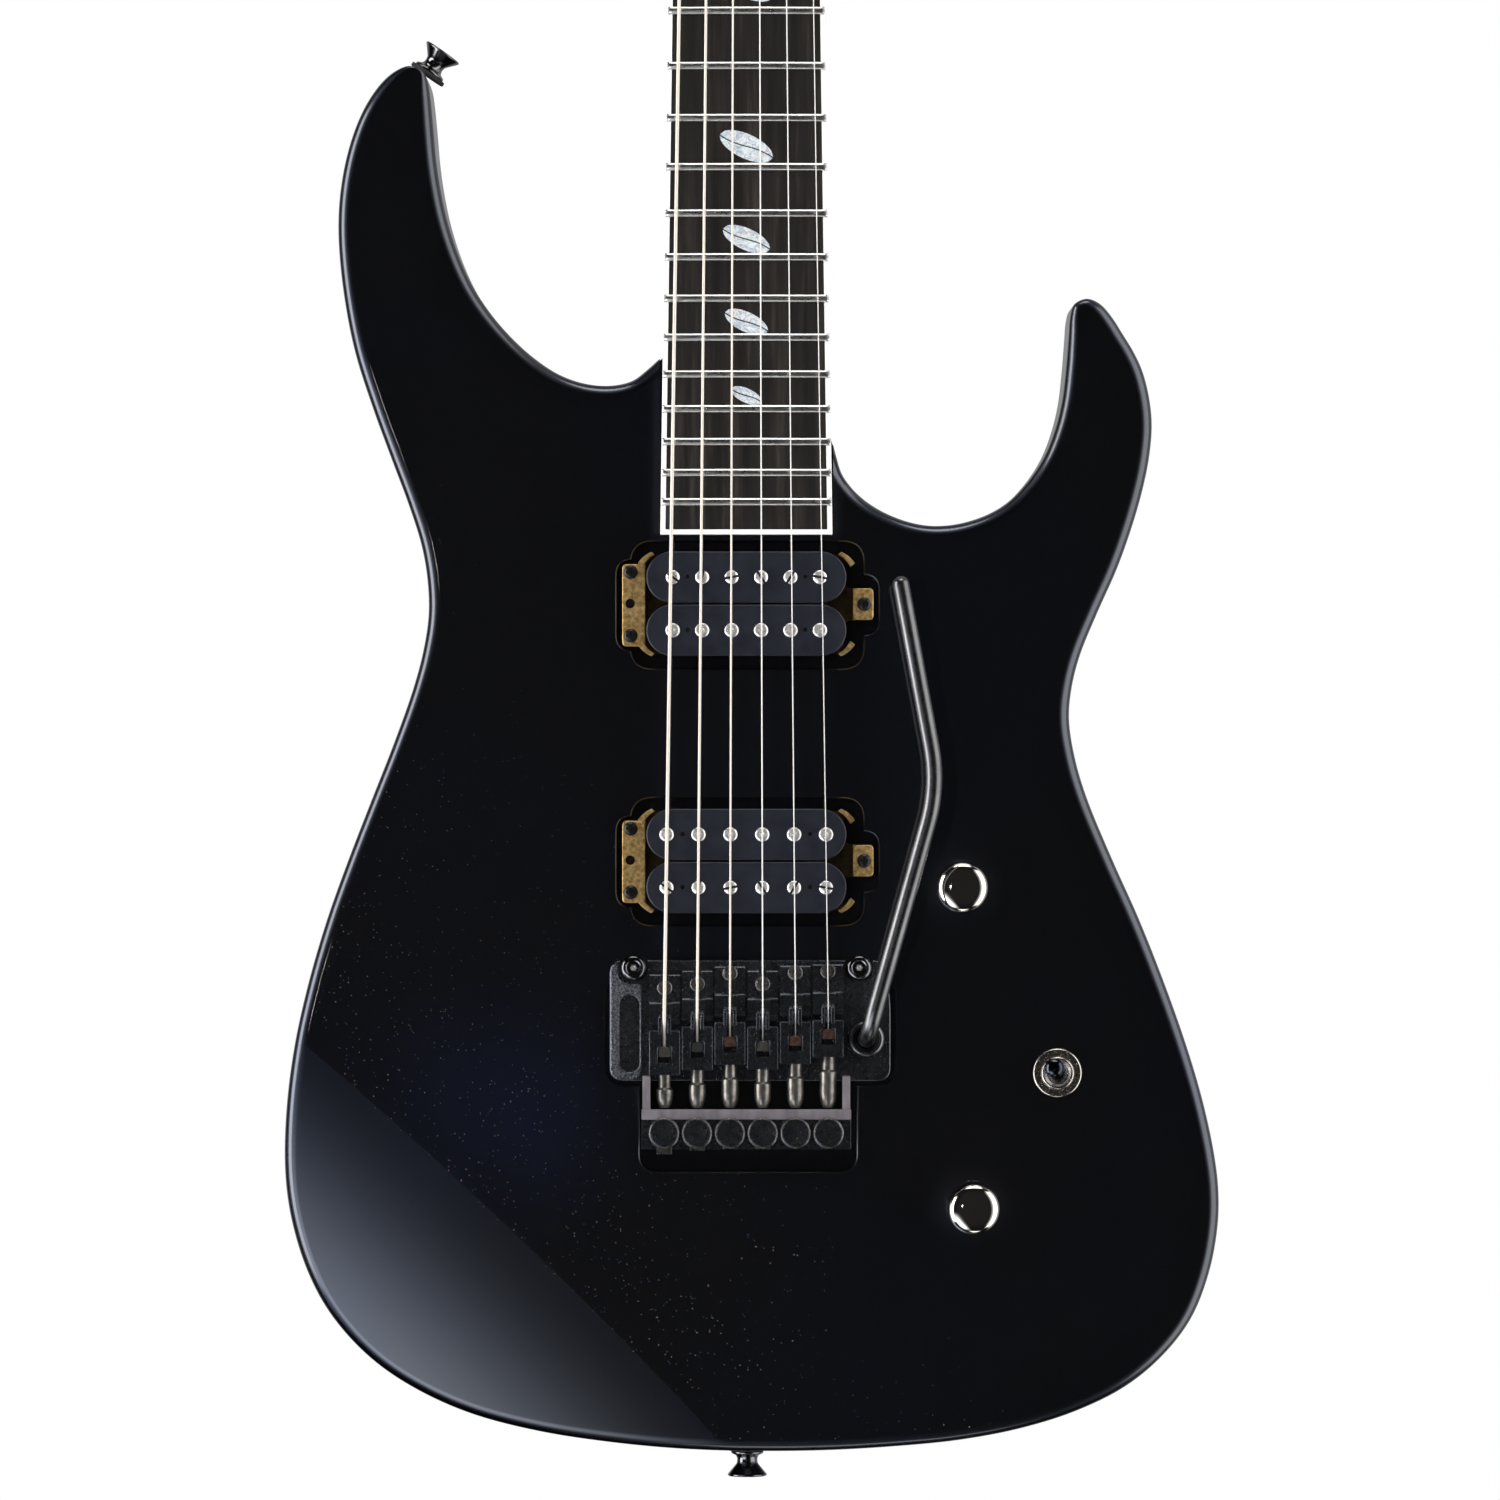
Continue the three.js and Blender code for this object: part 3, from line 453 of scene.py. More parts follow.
def remap(tree, value, low, high, from_low=0.0, from_high=1.0, smooth=False):
    inputs = {"Value": value, "From Min": from_low, "From Max": from_high, "To Min": low, "To Max": high}
    kind = "SMOOTHSTEP" if smooth else "LINEAR"
    return add_node(tree, "ShaderNodeMapRange", inputs, interpolation_type=kind).outputs["Result"]


def math_node(tree, operation, first, second=0.0):
    node = add_node(tree, "ShaderNodeMath", operation=operation)
    for socket, value in zip(node.inputs, (first, second)):
        if isinstance(value, bpy.types.NodeSocket):
            tree.links.new(value, socket)
        else:
            socket.default_value = value
    return node.outputs["Value"]


def mix_color(tree, factor, first, second):
    node = add_node(tree, "ShaderNodeMix", data_type="RGBA")
    enabled = {socket.name: socket for socket in node.inputs if socket.enabled}
    for name, value in (("Factor", factor), ("A", first), ("B", second)):
        tree.links.new(value, enabled[name])
    return next(socket for socket in node.outputs if socket.enabled)


def bump(tree, height, strength, distance):
    inputs = {"Height": height, "Strength": strength, "Distance": distance}
    return add_node(tree, "ShaderNodeBump", inputs).outputs["Normal"]


def surface(name, dark, light, roughness, metallic=0.0, scale=60.0, stretch=(1, 1, 1), grain=900.0,
            relief=0.05, depth=0.02 * MM, coat=0.0, detail=5.0):
    """A finish whose colour, roughness and relief all vary a little over the surface."""
    made, tree, shader = new_material(name)
    place = object_space(tree, stretch)
    clouds = noise(tree, place, scale, detail)
    fine = noise(tree, place, grain, 3.0)
    color = ramp(tree, clouds, (0.32, dark), (0.68, light))
    tree.links.new(color, shader.inputs["Base Color"])
    tree.links.new(remap(tree, fine, *roughness, 0.3, 0.7), shader.inputs["Roughness"])
    tree.links.new(bump(tree, fine, relief, depth), shader.inputs["Normal"])
    shader.inputs["Metallic"].default_value = metallic
    shader.inputs["Coat Weight"].default_value = coat
    shader.inputs["Coat Roughness"].default_value = 0.06
    return made


# Centre and reach of a painted bluish sheen on the lacquer's lower bass side.
PAINTED_SHEEN_CENTRE = (-84 * MM, 0.0, -688 * MM)
PAINTED_SHEEN_RADIUS = 55 * MM


def lacquer():
    """Black lacquer: a clear gloss over a dark metallic coat with coloured flakes. The flakes are painted glints,
    kept to the flat front and thickening towards the lower bass side where the key light catches them, and a
    bluish cloud in the base colour there is a painted sheen.
    """
    made, tree, shader = new_material("black_lacquer")
    place = object_space(tree)
    cells = add_node(tree, "ShaderNodeTexVoronoi", {"Vector": place, "Scale": 1900.0})
    parts = add_node(tree, "ShaderNodeSeparateColor", {"Color": cells.outputs["Color"]})
    # Painted glints: flakes are picked more often towards the lower bass side and only on the flat front, where
    # the key light catches them.
    spread = add_node(tree, "ShaderNodeVectorMath", {0: place, 1: (-1.0, 0.0, -0.7)}, operation="DOT_PRODUCT")
    clouds = noise(tree, place, 14.0, 3.0)
    share = math_node(tree, "ADD", remap(tree, spread.outputs["Value"], 1.012, 0.955, 0.42, 0.6),
                      remap(tree, clouds, 0.006, -0.01, 0.35, 0.65))
    picked_where_lit = math_node(tree, "GREATER_THAN", parts.outputs["Red"], share)
    spot = math_node(tree, "LESS_THAN", cells.outputs["Distance"], 0.3)
    depth = add_node(tree, "ShaderNodeSeparateXYZ", {"Vector": place}).outputs["Y"]
    flat_front = math_node(tree, "LESS_THAN", depth, 0.1 * MM)
    flake_and_glint = math_node(tree, "MULTIPLY", math_node(tree, "MULTIPLY", picked_where_lit, spot), flat_front)
    tint = ramp(tree, parts.outputs["Green"], (0.0, (0.1, 0.14, 0.34)), (0.5, (0.22, 0.24, 0.3)),
                (0.85, (0.3, 0.24, 0.15)), (1.0, (0.2, 0.16, 0.3)))
    haze = ramp(tree, noise(tree, place, 9.0, 2.0), (0.35, (0.045, 0.048, 0.058)),
                (0.7, (0.04, 0.047, 0.068)))
    color = mix_color(tree, flake_and_glint, haze, tint)
    spin = add_node(tree, "ShaderNodeVectorMath", {0: cells.outputs["Color"], 1: (0.5, 0.5, 0.5)},
                    operation="SUBTRACT").outputs["Vector"]
    normal = add_node(tree, "ShaderNodeNewGeometry").outputs["Normal"]
    wobble = math_node(tree, "MULTIPLY", flake_and_glint, 0.9)
    leaned = add_node(tree, "ShaderNodeVectorMath", {0: spin}, operation="SCALE")
    tree.links.new(wobble, leaned.inputs["Scale"])
    tilted = add_node(tree, "ShaderNodeVectorMath", {0: normal, 1: leaned.outputs["Vector"]}, operation="ADD")
    unit = add_node(tree, "ShaderNodeVectorMath", {0: tilted.outputs["Vector"]}, operation="NORMALIZE")
    metal = add_node(tree, "ShaderNodeBsdfAnisotropic",
                     {"Roughness": 0.42, "Normal": unit.outputs["Vector"]}, distribution="BECKMANN")
    tree.links.new(color, metal.inputs["Color"])
    # Painted sheen: the black pigment turns bluish round a spot on the lower bass side, where the key light glows
    # on the finish.
    centre = add_node(tree, "ShaderNodeVectorMath", {0: place, 1: PAINTED_SHEEN_CENTRE}, operation="DISTANCE")
    sheen_fading = remap(tree, centre.outputs["Value"], 1.0, 0.0, 0.0, PAINTED_SHEEN_RADIUS, smooth=True)
    painted_sheen = math_node(tree, "MULTIPLY", sheen_fading, remap(tree, clouds, 0.3, 1.0, 0.3, 0.7))
    pigment_with_sheen = ramp(tree, painted_sheen, (0.0, (0.0008, 0.0008, 0.001)), (1.0, (0.002, 0.0035, 0.013)))
    tree.links.new(pigment_with_sheen, shader.inputs["Base Color"])
    shader.inputs["Roughness"].default_value = 0.02
    ripple = noise(tree, place, 220.0, 2.0)
    tree.links.new(bump(tree, ripple, 0.02, 0.01 * MM), shader.inputs["Normal"])
    both = add_node(tree, "ShaderNodeAddShader")
    tree.links.new(shader.outputs["BSDF"], both.inputs[0])
    tree.links.new(metal.outputs["BSDF"], both.inputs[1])
    tree.links.new(both.outputs["Shader"], tree.nodes["Material Output"].inputs["Surface"])
    return made


def ebony():
    """Oiled ebony: very dark, with streaks and open pores along the neck."""
    made, tree, shader = new_material("ebony")
    streaks = noise(tree, object_space(tree, (1, 1, 0.045)), 420.0, 6.0, 0.65)
    pores = noise(tree, object_space(tree, (1, 1, 0.09)), 2600.0, 2.0)
    tree.links.new(ramp(tree, streaks, (0.36, (0.006, 0.005, 0.0045)), (0.54, (0.015, 0.0125, 0.011)),
                        (0.74, (0.045, 0.037, 0.032))), shader.inputs["Base Color"])
    tree.links.new(remap(tree, streaks, 0.5, 0.34, 0.3, 0.7), shader.inputs["Roughness"])
    tree.links.new(bump(tree, pores, 0.5, 0.05 * MM), shader.inputs["Normal"])
    return made


def pearl():
    """Abalone shell: pale bands that shift between cream, green and blue."""
    made, tree, shader = new_material("pearl")
    place = object_space(tree)
    swirl = noise(tree, place, 190.0, 4.0, 0.6, 2.4)
    flecks = add_node(tree, "ShaderNodeTexVoronoi", {"Vector": place, "Scale": 420.0})
    bands = math_node(tree, "FRACT", math_node(tree, "ADD", math_node(tree, "MULTIPLY", swirl, 3.0),
                                               math_node(tree, "MULTIPLY", flecks.outputs["Distance"], 0.35)))
    tree.links.new(ramp(tree, bands, (0.0, (0.7, 0.72, 0.71)), (0.2, (0.36, 0.56, 0.48)),
                        (0.36, (0.78, 0.78, 0.76)), (0.6, (0.56, 0.62, 0.7)), (0.76, (0.26, 0.36, 0.44)),
                        (0.88, (0.78, 0.7, 0.72)), (1.0, (0.7, 0.72, 0.71))), shader.inputs["Base Color"])
    shader.inputs["Roughness"].default_value = 0.22
    shader.inputs["Coat Weight"].default_value = 0.5
    tree.links.new(bump(tree, bands, 0.06, 0.05 * MM), shader.inputs["Normal"])
    return made


def hammered(name, dark, light):
    """Black plating over rough casting: bright specks on a dark metal skin."""
    made, tree, shader = new_material(name)
    place = object_space(tree)
    lumps = add_node(tree, "ShaderNodeTexVoronoi", {"Vector": place, "Scale": 1500.0}, feature="SMOOTH_F1")
    fine = noise(tree, place, 1900.0, 3.0)
    height = math_node(tree, "ADD", lumps.outputs["Distance"], math_node(tree, "MULTIPLY", fine, 0.6))
    tree.links.new(ramp(tree, fine, (0.4, dark), (0.62, light)),
                   shader.inputs["Base Color"])
    tree.links.new(bump(tree, height, 0.9, 0.3 * MM), shader.inputs["Normal"])
    shader.inputs["Metallic"].default_value = 0.9
    shader.inputs["Roughness"].default_value = 0.42
    return made


def wound_wire():
    """The close winding of a bass string, as ridges along its length, with painted shade darkening the grooves
    between the turns.
    """
    made, tree, shader = new_material("wound_string")
    place = object_space(tree)
    turns = add_node(tree, "ShaderNodeTexWave", {"Vector": place, "Scale": 1100.0, "Distortion": 0.3},
                     bands_direction="Z")
    # Painted shade: the colour follows the ridges' height and is darker in the grooves between turns.
    tree.links.new(ramp(tree, turns.outputs["Fac"], (0.1, (0.62, 0.55, 0.46)), (0.6, (0.96, 0.91, 0.82))),
                   shader.inputs["Base Color"])
    tree.links.new(bump(tree, turns.outputs["Fac"], 0.35, 0.05 * MM), shader.inputs["Normal"])
    shader.inputs["Metallic"].default_value = 0.3
    shader.inputs["Roughness"].default_value = 0.4
    return made


LACQUER = lacquer()
EBONY = ebony()
PEARL = pearl()
HAMMERED = hammered("hammered_plate", (0.07, 0.073, 0.084), (0.27, 0.285, 0.315))
# Painted shade: a darker copy of the hammered plating for the wing's shallow recessed panel.
HAMMERED_SHADED = hammered("hammered_recess_painted_shade", (0.045, 0.048, 0.056), (0.24, 0.25, 0.28))
WOUND = wound_wire()
PLAIN_WIRE = surface("plain_string", (0.88, 0.86, 0.82), (0.95, 0.93, 0.9), (0.4, 0.5), 0.35, 80.0,
                     relief=0.0)
MAPLE = surface("maple", (0.45, 0.27, 0.12), (0.66, 0.45, 0.24), (0.34, 0.5), 0.0, 130.0, (1, 1, 0.07),
                1400.0, 0.25)
BINDING = surface("binding", (0.92, 0.915, 0.89), (0.96, 0.955, 0.93), (0.3, 0.45), 0.0, 25.0)
FRET_WIRE = surface("fret_wire", (0.78, 0.77, 0.75), (0.88, 0.87, 0.85), (0.26, 0.34), 1.0, 300.0, relief=0.0)
BLACK_METAL = surface("black_plating", (0.085, 0.091, 0.109), (0.13, 0.138, 0.16), (0.24, 0.32), 0.97, 90.0,
                      relief=0.0)
DARK_CHROME = surface("black_chrome", (0.14, 0.14, 0.15), (0.2, 0.2, 0.21), (0.1, 0.18), 1.0, 60.0)
SATIN_STEEL = surface("satin_steel", (0.36, 0.35, 0.33), (0.6, 0.58, 0.54), (0.2, 0.36), 1.0, 260.0,
                      (1, 1, 0.25))
BOLT_STEEL = surface("bolt_steel", (0.12, 0.11, 0.1), (0.3, 0.285, 0.26), (0.3, 0.42), 0.9, 420.0)
POLE = surface("pole_nickel", (0.82, 0.8, 0.77), (0.95, 0.93, 0.9), (0.24, 0.34), 0.75, 500.0, relief=0.05)
NICKEL = surface("nickel", (0.74, 0.7, 0.64), (0.84, 0.81, 0.76), (0.035, 0.09), 1.0, 50.0, relief=0.03)
BRASS = surface("gilt_brass", (0.4, 0.23, 0.06), (0.95, 0.68, 0.3), (0.3, 0.5), 0.8, 700.0, relief=0.6,
                depth=0.06 * MM)
BOBBIN = surface("bobbin_plastic", (0.009, 0.01, 0.016), (0.015, 0.017, 0.026), (0.3, 0.44), 0.0, 200.0,
                 relief=0.35)
COVER = surface("cover_plastic", (0.010, 0.010, 0.011), (0.02, 0.02, 0.021), (0.38, 0.55), 0.0, 120.0,
                relief=0.5)
TAPE = surface("coil_tape", (0.008, 0.008, 0.009), (0.018, 0.018, 0.02), (0.5, 0.7), 0.0, 300.0, relief=0.4)
RUBBER = surface("felt_washer", (0.012, 0.012, 0.012), (0.03, 0.03, 0.03), (0.7, 0.9), 0.0, 400.0, relief=0.6)
# Painted reflection: a lighter lilac grey standing in for light caught by the black bridge's cheeks and shelf
# strip.
PLATING_SHEEN = surface("plating_painted_sheen", (0.2, 0.18, 0.2), (0.34, 0.31, 0.34), (0.42, 0.6), 0.6, 240.0, (1, 1, 0.4),
                relief=0.4)
BLACK_SCREW = surface("black_screw", (0.006, 0.006, 0.007), (0.014, 0.014, 0.015), (0.25, 0.4), 0.2, 300.0)
# Painted shade: near-black brass for the pickup pan, standing in for the shade between the legs and the bobbins.
BRASS_IN_PAINTED_SHADE = surface("brass_painted_shade", (0.02, 0.014, 0.006), (0.06, 0.04, 0.015), (0.5, 0.7), 0.5, 500.0)
SMOKED = surface("smoked_chrome", (0.035, 0.038, 0.052), (0.06, 0.064, 0.085), (0.06, 0.12), 1.0, 60.0)
# Painted shade: a near-black finish for plugs and discs set in holes, standing in for their dark insides.
HOLE_SHADE = surface("painted_hole_shade", (0.002, 0.002, 0.002), (0.005, 0.005, 0.005), (0.6, 0.8), 0.0, 300.0)
COPPER = surface("copper_insert", (0.12, 0.07, 0.055), (0.34, 0.2, 0.15), (0.3, 0.5), 0.9, 700.0, relief=0.5)
ARM_METAL = surface("smoked_nickel", (0.13, 0.13, 0.136), (0.19, 0.19, 0.194), (0.26, 0.34), 1.0, 60.0,
                    relief=0.0)
WARM_NICKEL = surface("warm_nickel", (0.5, 0.46, 0.4), (0.62, 0.58, 0.52), (0.2, 0.3), 1.0, 60.0, relief=0.0)
SADDLE_SCREW = surface("grey_screw", (0.2, 0.19, 0.18), (0.34, 0.33, 0.32), (0.22, 0.36), 0.95, 300.0)


# ---- body ----
CREASE_UPPER = Vector((-149.0, -662.3)) * MM
CREASE_LOWER = Vector((-6.5, -798.5)) * MM
CREASE_BOW = 3 * MM
BEVEL_START = math.tan(math.radians(5.5))
BEVEL_END = math.tan(math.radians(19.0))
BEVEL_REACH = 68 * MM


def crease_circle():
    """Centre and radius of the arc that the forearm bevel starts from."""
    chord = CREASE_LOWER - CREASE_UPPER
    half = chord.length / 2
    radius = (half * half + CREASE_BOW * CREASE_BOW) / (2 * CREASE_BOW)
    inward = Vector((-chord.y, chord.x)).normalized()
    return (CREASE_UPPER + CREASE_LOWER) / 2 + inward * (CREASE_BOW - radius), radius


def edge_radii(points, normals):
    """The roundover's radius at each point of the outline, smaller where a horn's tip is tighter than it."""
    turning = ((np.roll(normals, -1, 0) - np.roll(normals, 1, 0))
               * (np.roll(points, -1, 0) - np.roll(points, 1, 0))).sum(1)
    run = ((np.roll(points, -1, 0) - np.roll(points, 1, 0)) ** 2).sum(1)
    tight = run / np.maximum(turning, run / 1.0)
    radii = np.minimum(EDGE_RADIUS, 0.7 * tight)
    reach = 8
    radii = np.min([np.roll(radii, k) for k in range(-reach, reach + 1)], 0)
    return np.mean([np.roll(radii, k) for k in range(-reach, reach + 1)], 0)


def body_shell():
    """The body's closed skin: flat front, crowned forearm bevel, rounded edges, flat back."""
    edge = smooth_loop(cad_outline("body", BODY_BACK - 10 * MM), 6)
    centre, crease = crease_circle()
    points, normals = normals_of(edge)[:2]
    middle = np.array(tuple(centre))
    rounding = edge_radii(points, normals)
    inner = points - normals * rounding[:, None]
    reach = np.linalg.norm(inner - middle, axis=1)
    toward = (middle - inner) / reach[:, None]
    past = np.maximum(crease - reach, 0)
    drop = BEVEL_START * past + (BEVEL_END - BEVEL_START) * past**2 / (2 * BEVEL_REACH)
    slope = (BEVEL_START + (BEVEL_END - BEVEL_START) * past / BEVEL_REACH) * (past > 0)
    lean = np.arctan(slope * (toward * normals).sum(1))
    radius = rounding / (1 - np.sin(lean))
    count = len(edge)

    def ring(inset, depth):
        flat = points - normals * np.broadcast_to(inset, count)[:, None]
        depth = np.broadcast_to(depth, count)
        return [Vector((x, y, z)) for (x, z), y in zip(flat, depth)]

    foot = inner - toward * past[:, None]
    rows = 10
    rings = []
    for row in range(rows):
        share = row / rows
        out = past * share
        flat = foot + toward * out[:, None]
        y = BEVEL_START * out + (BEVEL_END - BEVEL_START) * out**2 / (2 * BEVEL_REACH)
        rings.append([Vector((x, depth, z)) for (x, z), depth in zip(flat, y)])
    steps = 10
    for step in range(steps + 1):
        angle = lean + (math.pi / 2 - lean) * step / steps
        rings.append(ring(radius * (1 - np.sin(angle)), drop + radius * (np.cos(lean) - np.cos(angle))))
    rings.append(ring(0, BODY_BACK / 2))
    for step in range(steps + 1):
        angle = math.pi / 2 * (1 - step / steps)
        rings.append(ring(rounding * (1 - math.sin(angle)), BODY_BACK - rounding * (1 - math.cos(angle))))
    return skin("body_wood", rings), centre, crease


def pickup_cutters(name):
    """The rout round one pickup: the coils' space, a bass lobe and a treble lobe for the legs."""
    low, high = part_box(f"{name}_baseplate")
    middle = (low.z + high.z) / 2
    depth = 18 * MM
    shapes = [rectangle(low.x + 3 * MM, high.x - 3.4 * MM, middle - 21.2 * MM, middle + 20.6 * MM, 7 * MM, 8),
              rectangle(low.x - 1.8 * MM, 0, middle - 15.2 * MM, middle + 14.6 * MM, 5 * MM, 8),
              rectangle(0, high.x + 1.6 * MM, middle - 10.2 * MM, middle + 9.6 * MM, 5 * MM, 8)]
    return [cutter(f"{name}_rout_{i}", shape, 0, depth) for i, shape in enumerate(shapes)]


def bridge_cutters():
    """The shallow recess under the bridge's wings, the deeper tail rout and the sustain block's well."""
    wings = rectangle(plate_low.x - 1.5 * MM, plate_high.x + 1.6 * MM, -678.4 * MM, -643.5 * MM, 6.5 * MM, 8)
    tail = rectangle(-35.2 * MM, 36.4 * MM, -707 * MM, -650 * MM, 6 * MM, 8)
    well = rectangle(-31.6 * MM, 31.6 * MM, -692 * MM, -640.4 * MM, 4 * MM)
    return [cutter("wing_rout", wings, 0, 3.5 * MM), cutter("tail_rout", tail, 0, 14 * MM),
            cutter("block_well", well, 0, BODY_BACK + 2 * MM, 0.1 * MM)]


def back_cutters():
    """The spring and control cavities with their lids' seats."""
    low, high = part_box("spring_cover")
    springs = rectangle(low.x + 8 * MM, high.x - 8 * MM, low.z + 12 * MM, high.z - 9 * MM, 8 * MM)
    controls = offset(cad_outline("control_cover", BODY_BACK - 1 * MM), -7 * MM)
    tools = [cutter("spring_cavity", springs, BODY_BACK, 27 * MM, 0.1 * MM),
             cutter("control_cavity", controls, BODY_BACK, 6 * MM, 0.1 * MM)]
    for cover in ("spring_cover", "control_cover"):
        seat = offset(cad_outline(cover, BODY_BACK - 1 * MM), 0.35 * MM)
        tools.append(cutter(f"{cover}_seat", seat, BODY_BACK, BODY_BACK - 2.4 * MM, 0.25 * MM))
    return tools


def hole_cutters():
    tools = []
    for node, radius in (("volume_knob", 4.0), ("tone_knob", 4.0), ("toggle_switch", 3.6),
                         ("bass_bridge_stud", 3.6), ("treble_bridge_stud", 3.6)):
        depth = (26 if "stud" in node else 10) * MM
        tools.append(drill(f"{node}_hole", face_centre(node), -FRONT, radius * MM, depth))
    jack_low, jack_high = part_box("output_jack")
    mouth = Vector((jack_high.x, BODY_BACK / 2, (jack_low.z + jack_high.z) / 2))
    inward = Vector((-1, 0, 0))
    tools.append(drill("jack_recess", mouth + Vector((4 * MM, 0, 0)), inward, 10.4 * MM, 6.3 * MM, 64))
    tools.append(drill("jack_bore", mouth, inward, 6.5 * MM, 50 * MM))
    pocket = rectangle(board_low.x - 0.3 * MM, board_high.x + 0.3 * MM, BOARD_END - 0.3 * MM, -420 * MM)
    tools.append(prism("neck_pocket", pocket, -5 * MM, 15.7 * MM))
    return tools


def crisp_crease(piece, centre, radius):
    """Keeps the forearm bevel's crease sharp, which is too slight for an angle to pick out."""
    mesh = piece.data
    attribute = mesh.attributes.get("sharp_edge") or mesh.attributes.new("sharp_edge", "BOOLEAN", "EDGE")
    on_crease = [abs((Vector((v.co.x, v.co.z)) - centre).length - radius) < 2e-6 and abs(v.co.y) < 1e-6
                 for v in mesh.vertices]
    for edge in mesh.edges:
        if all(on_crease[i] for i in edge.vertices):
            attribute.data[edge.index].value = True


def make_body():
    shell, centre, radius = body_shell()
    tools = [*pickup_cutters("neck_pickup"), *pickup_cutters("bridge_pickup"), *bridge_cutters(),
             *back_cutters(), *hole_cutters()]
    boolean(shell, tools)
    settle(shell, "instrument", "lacquer", LACQUER, "body", angle=32)
    crisp_crease(shell, centre, radius)


# ---- neck, headstock, board ----
def fret_z(number):
    return -SCALE_LENGTH * (1 - 2 ** (-number / 12))


def board_width(z):
    return NUT_WIDTH + (BOARD_END_WIDTH - NUT_WIDTH) * (z / BOARD_END)


def crown_y(x):
    return NECK_FRONT - BOARD_THICKNESS + x * x / (2 * CROWN_RADIUS)


def neck_ring(z, width, depth, squareness, steps=36):
    """Half a superellipse behind a flat front; a higher squareness gives fuller shoulders."""
    ring = []
    for step in range(steps + 1):
        angle = math.pi * step / steps
        across = math.copysign(abs(math.cos(angle)) ** (2 / squareness), math.cos(angle))
        back = max(math.sin(angle), 0) ** (2 / squareness)
        ring.append(Vector((width / 2 * across, NECK_FRONT + depth * back, z)))
    return ring


def make_neck():
    heel = 17.9 * MM
    stations = [(BOARD_END, heel, 16), (-452 * MM, heel, 16), (-436 * MM, heel, 7),
                (-420 * MM, 16.6 * MM, 3.2), (-400 * MM, 15.9 * MM, 2.6), (fret_z(12), 15.4 * MM, 2.3),
                (fret_z(1), 13.6 * MM, 2.3), (4 * MM, 13.6 * MM, 2.4), (18 * MM, 14.2 * MM, 3.0)]
    places, depths, shoulders = zip(*stations)
    spans = [np.linspace(a, b, 5, endpoint=False) for a, b in zip(places, places[1:])]
    rings = []
    for z in [*np.concatenate(spans), places[-1]]:
        depth = float(np.interp(z, places, depths))
        squareness = float(np.interp(z, places, shoulders))
        width = min(board_width(float(z)), board_width(-0.3 * MM) if z > 0 else 1)
        rings.append(neck_ring(float(z), width, depth, squareness))
    settle(skin("neck_shaft", rings), "instrument", "maple", MAPLE, "neck")
    make_headstock()


def head_matrix():
    pivot = Matrix.Translation(Vector((0, NECK_FRONT + 1 * MM, 17 * MM)))
    return pivot @ Matrix.Rotation(-HEAD_TILT, 4, "X")


HEAD = head_matrix()


def bezier(start, first, second, end, steps=14):
    line = []
    for step in range(steps):
        t = step / steps
        line.append(start * (1 - t) ** 3 + first * 3 * t * (1 - t) ** 2 + second * 3 * t**2 * (1 - t)
                    + end * t**3)
    return line


def headstock_outline():
    p = line_mm((-21.3, -6), (-21.3, 2), (-22, 10), (-38, 14), (-37.5, 26), (-1.5, 160), (2, 176), (12, 186),
                (22, 184), (32, 182), (33, 168), (31, 150), (27, 110), (27, 60), (22.5, 22), (21.3, -6))
    return [p[0], *bezier(*p[1:5]), p[4], *bezier(*p[5:9]), *bezier(*p[8:12]), *bezier(*p[11:15]), p[14],
            p[15]]


def make_headstock():
    outline = headstock_outline()
    head = plate("headstock", outline, 0.2 * MM, HEAD_THICKNESS, 2 * MM, 5)
    face = plate("headstock_face", offset(outline, -0.4 * MM), -0.5 * MM, 0.9 * MM, 0.4 * MM)
    for piece, slot, material in ((head, "maple", MAPLE), (face, "lacquer", LACQUER)):
        piece.data.transform(HEAD)
        settle(piece, "instrument", slot, material)


def crowned_board(name):
    """The whole fretboard blank with its curved top."""
    rings = []
    for z in (BOARD_END, 0):
        half = board_width(z) / 2
        top = [half * (2 * step / 24 - 1) for step in range(25)]
        rings.append([Vector((half, NECK_FRONT - 0.1 * MM, z)), Vector((-half, NECK_FRONT - 0.1 * MM, z)),
                      *[Vector((x, crown_y(x), z)) for x in top]])
    return skin(name, rings)


def board_inset(name, margin):
    end = BOARD_END + margin
    outline = [Vector((-board_width(end) / 2 + margin, end)), Vector((board_width(end) / 2 - margin, end)),
               Vector((NUT_WIDTH / 2 - margin, 2 * MM)), Vector((-NUT_WIDTH / 2 + margin, 2 * MM))]
    return prism(name, outline, -20 * MM, 5 * MM)


def make_board():
    core = board_inset("core", BINDING_WIDTH + 0.03 * MM)
    board = boolean(crowned_board("ebony_board"), [core], "INTERSECT")
    settle(board, "instrument", "ebony", EBONY, "fretboard")
    rim = boolean(crowned_board("board_binding"), [board_inset("core", BINDING_WIDTH)])
    soften(rim, 0.25 * MM, 2, 50)
    settle(rim, "instrument", "binding", BINDING, "fretboard_binding")
    inlays = [half for number in INLAY_FRETS for half in inlay(number)]
    settle(merge("inlays", inlays), "instrument", "binding", PEARL)


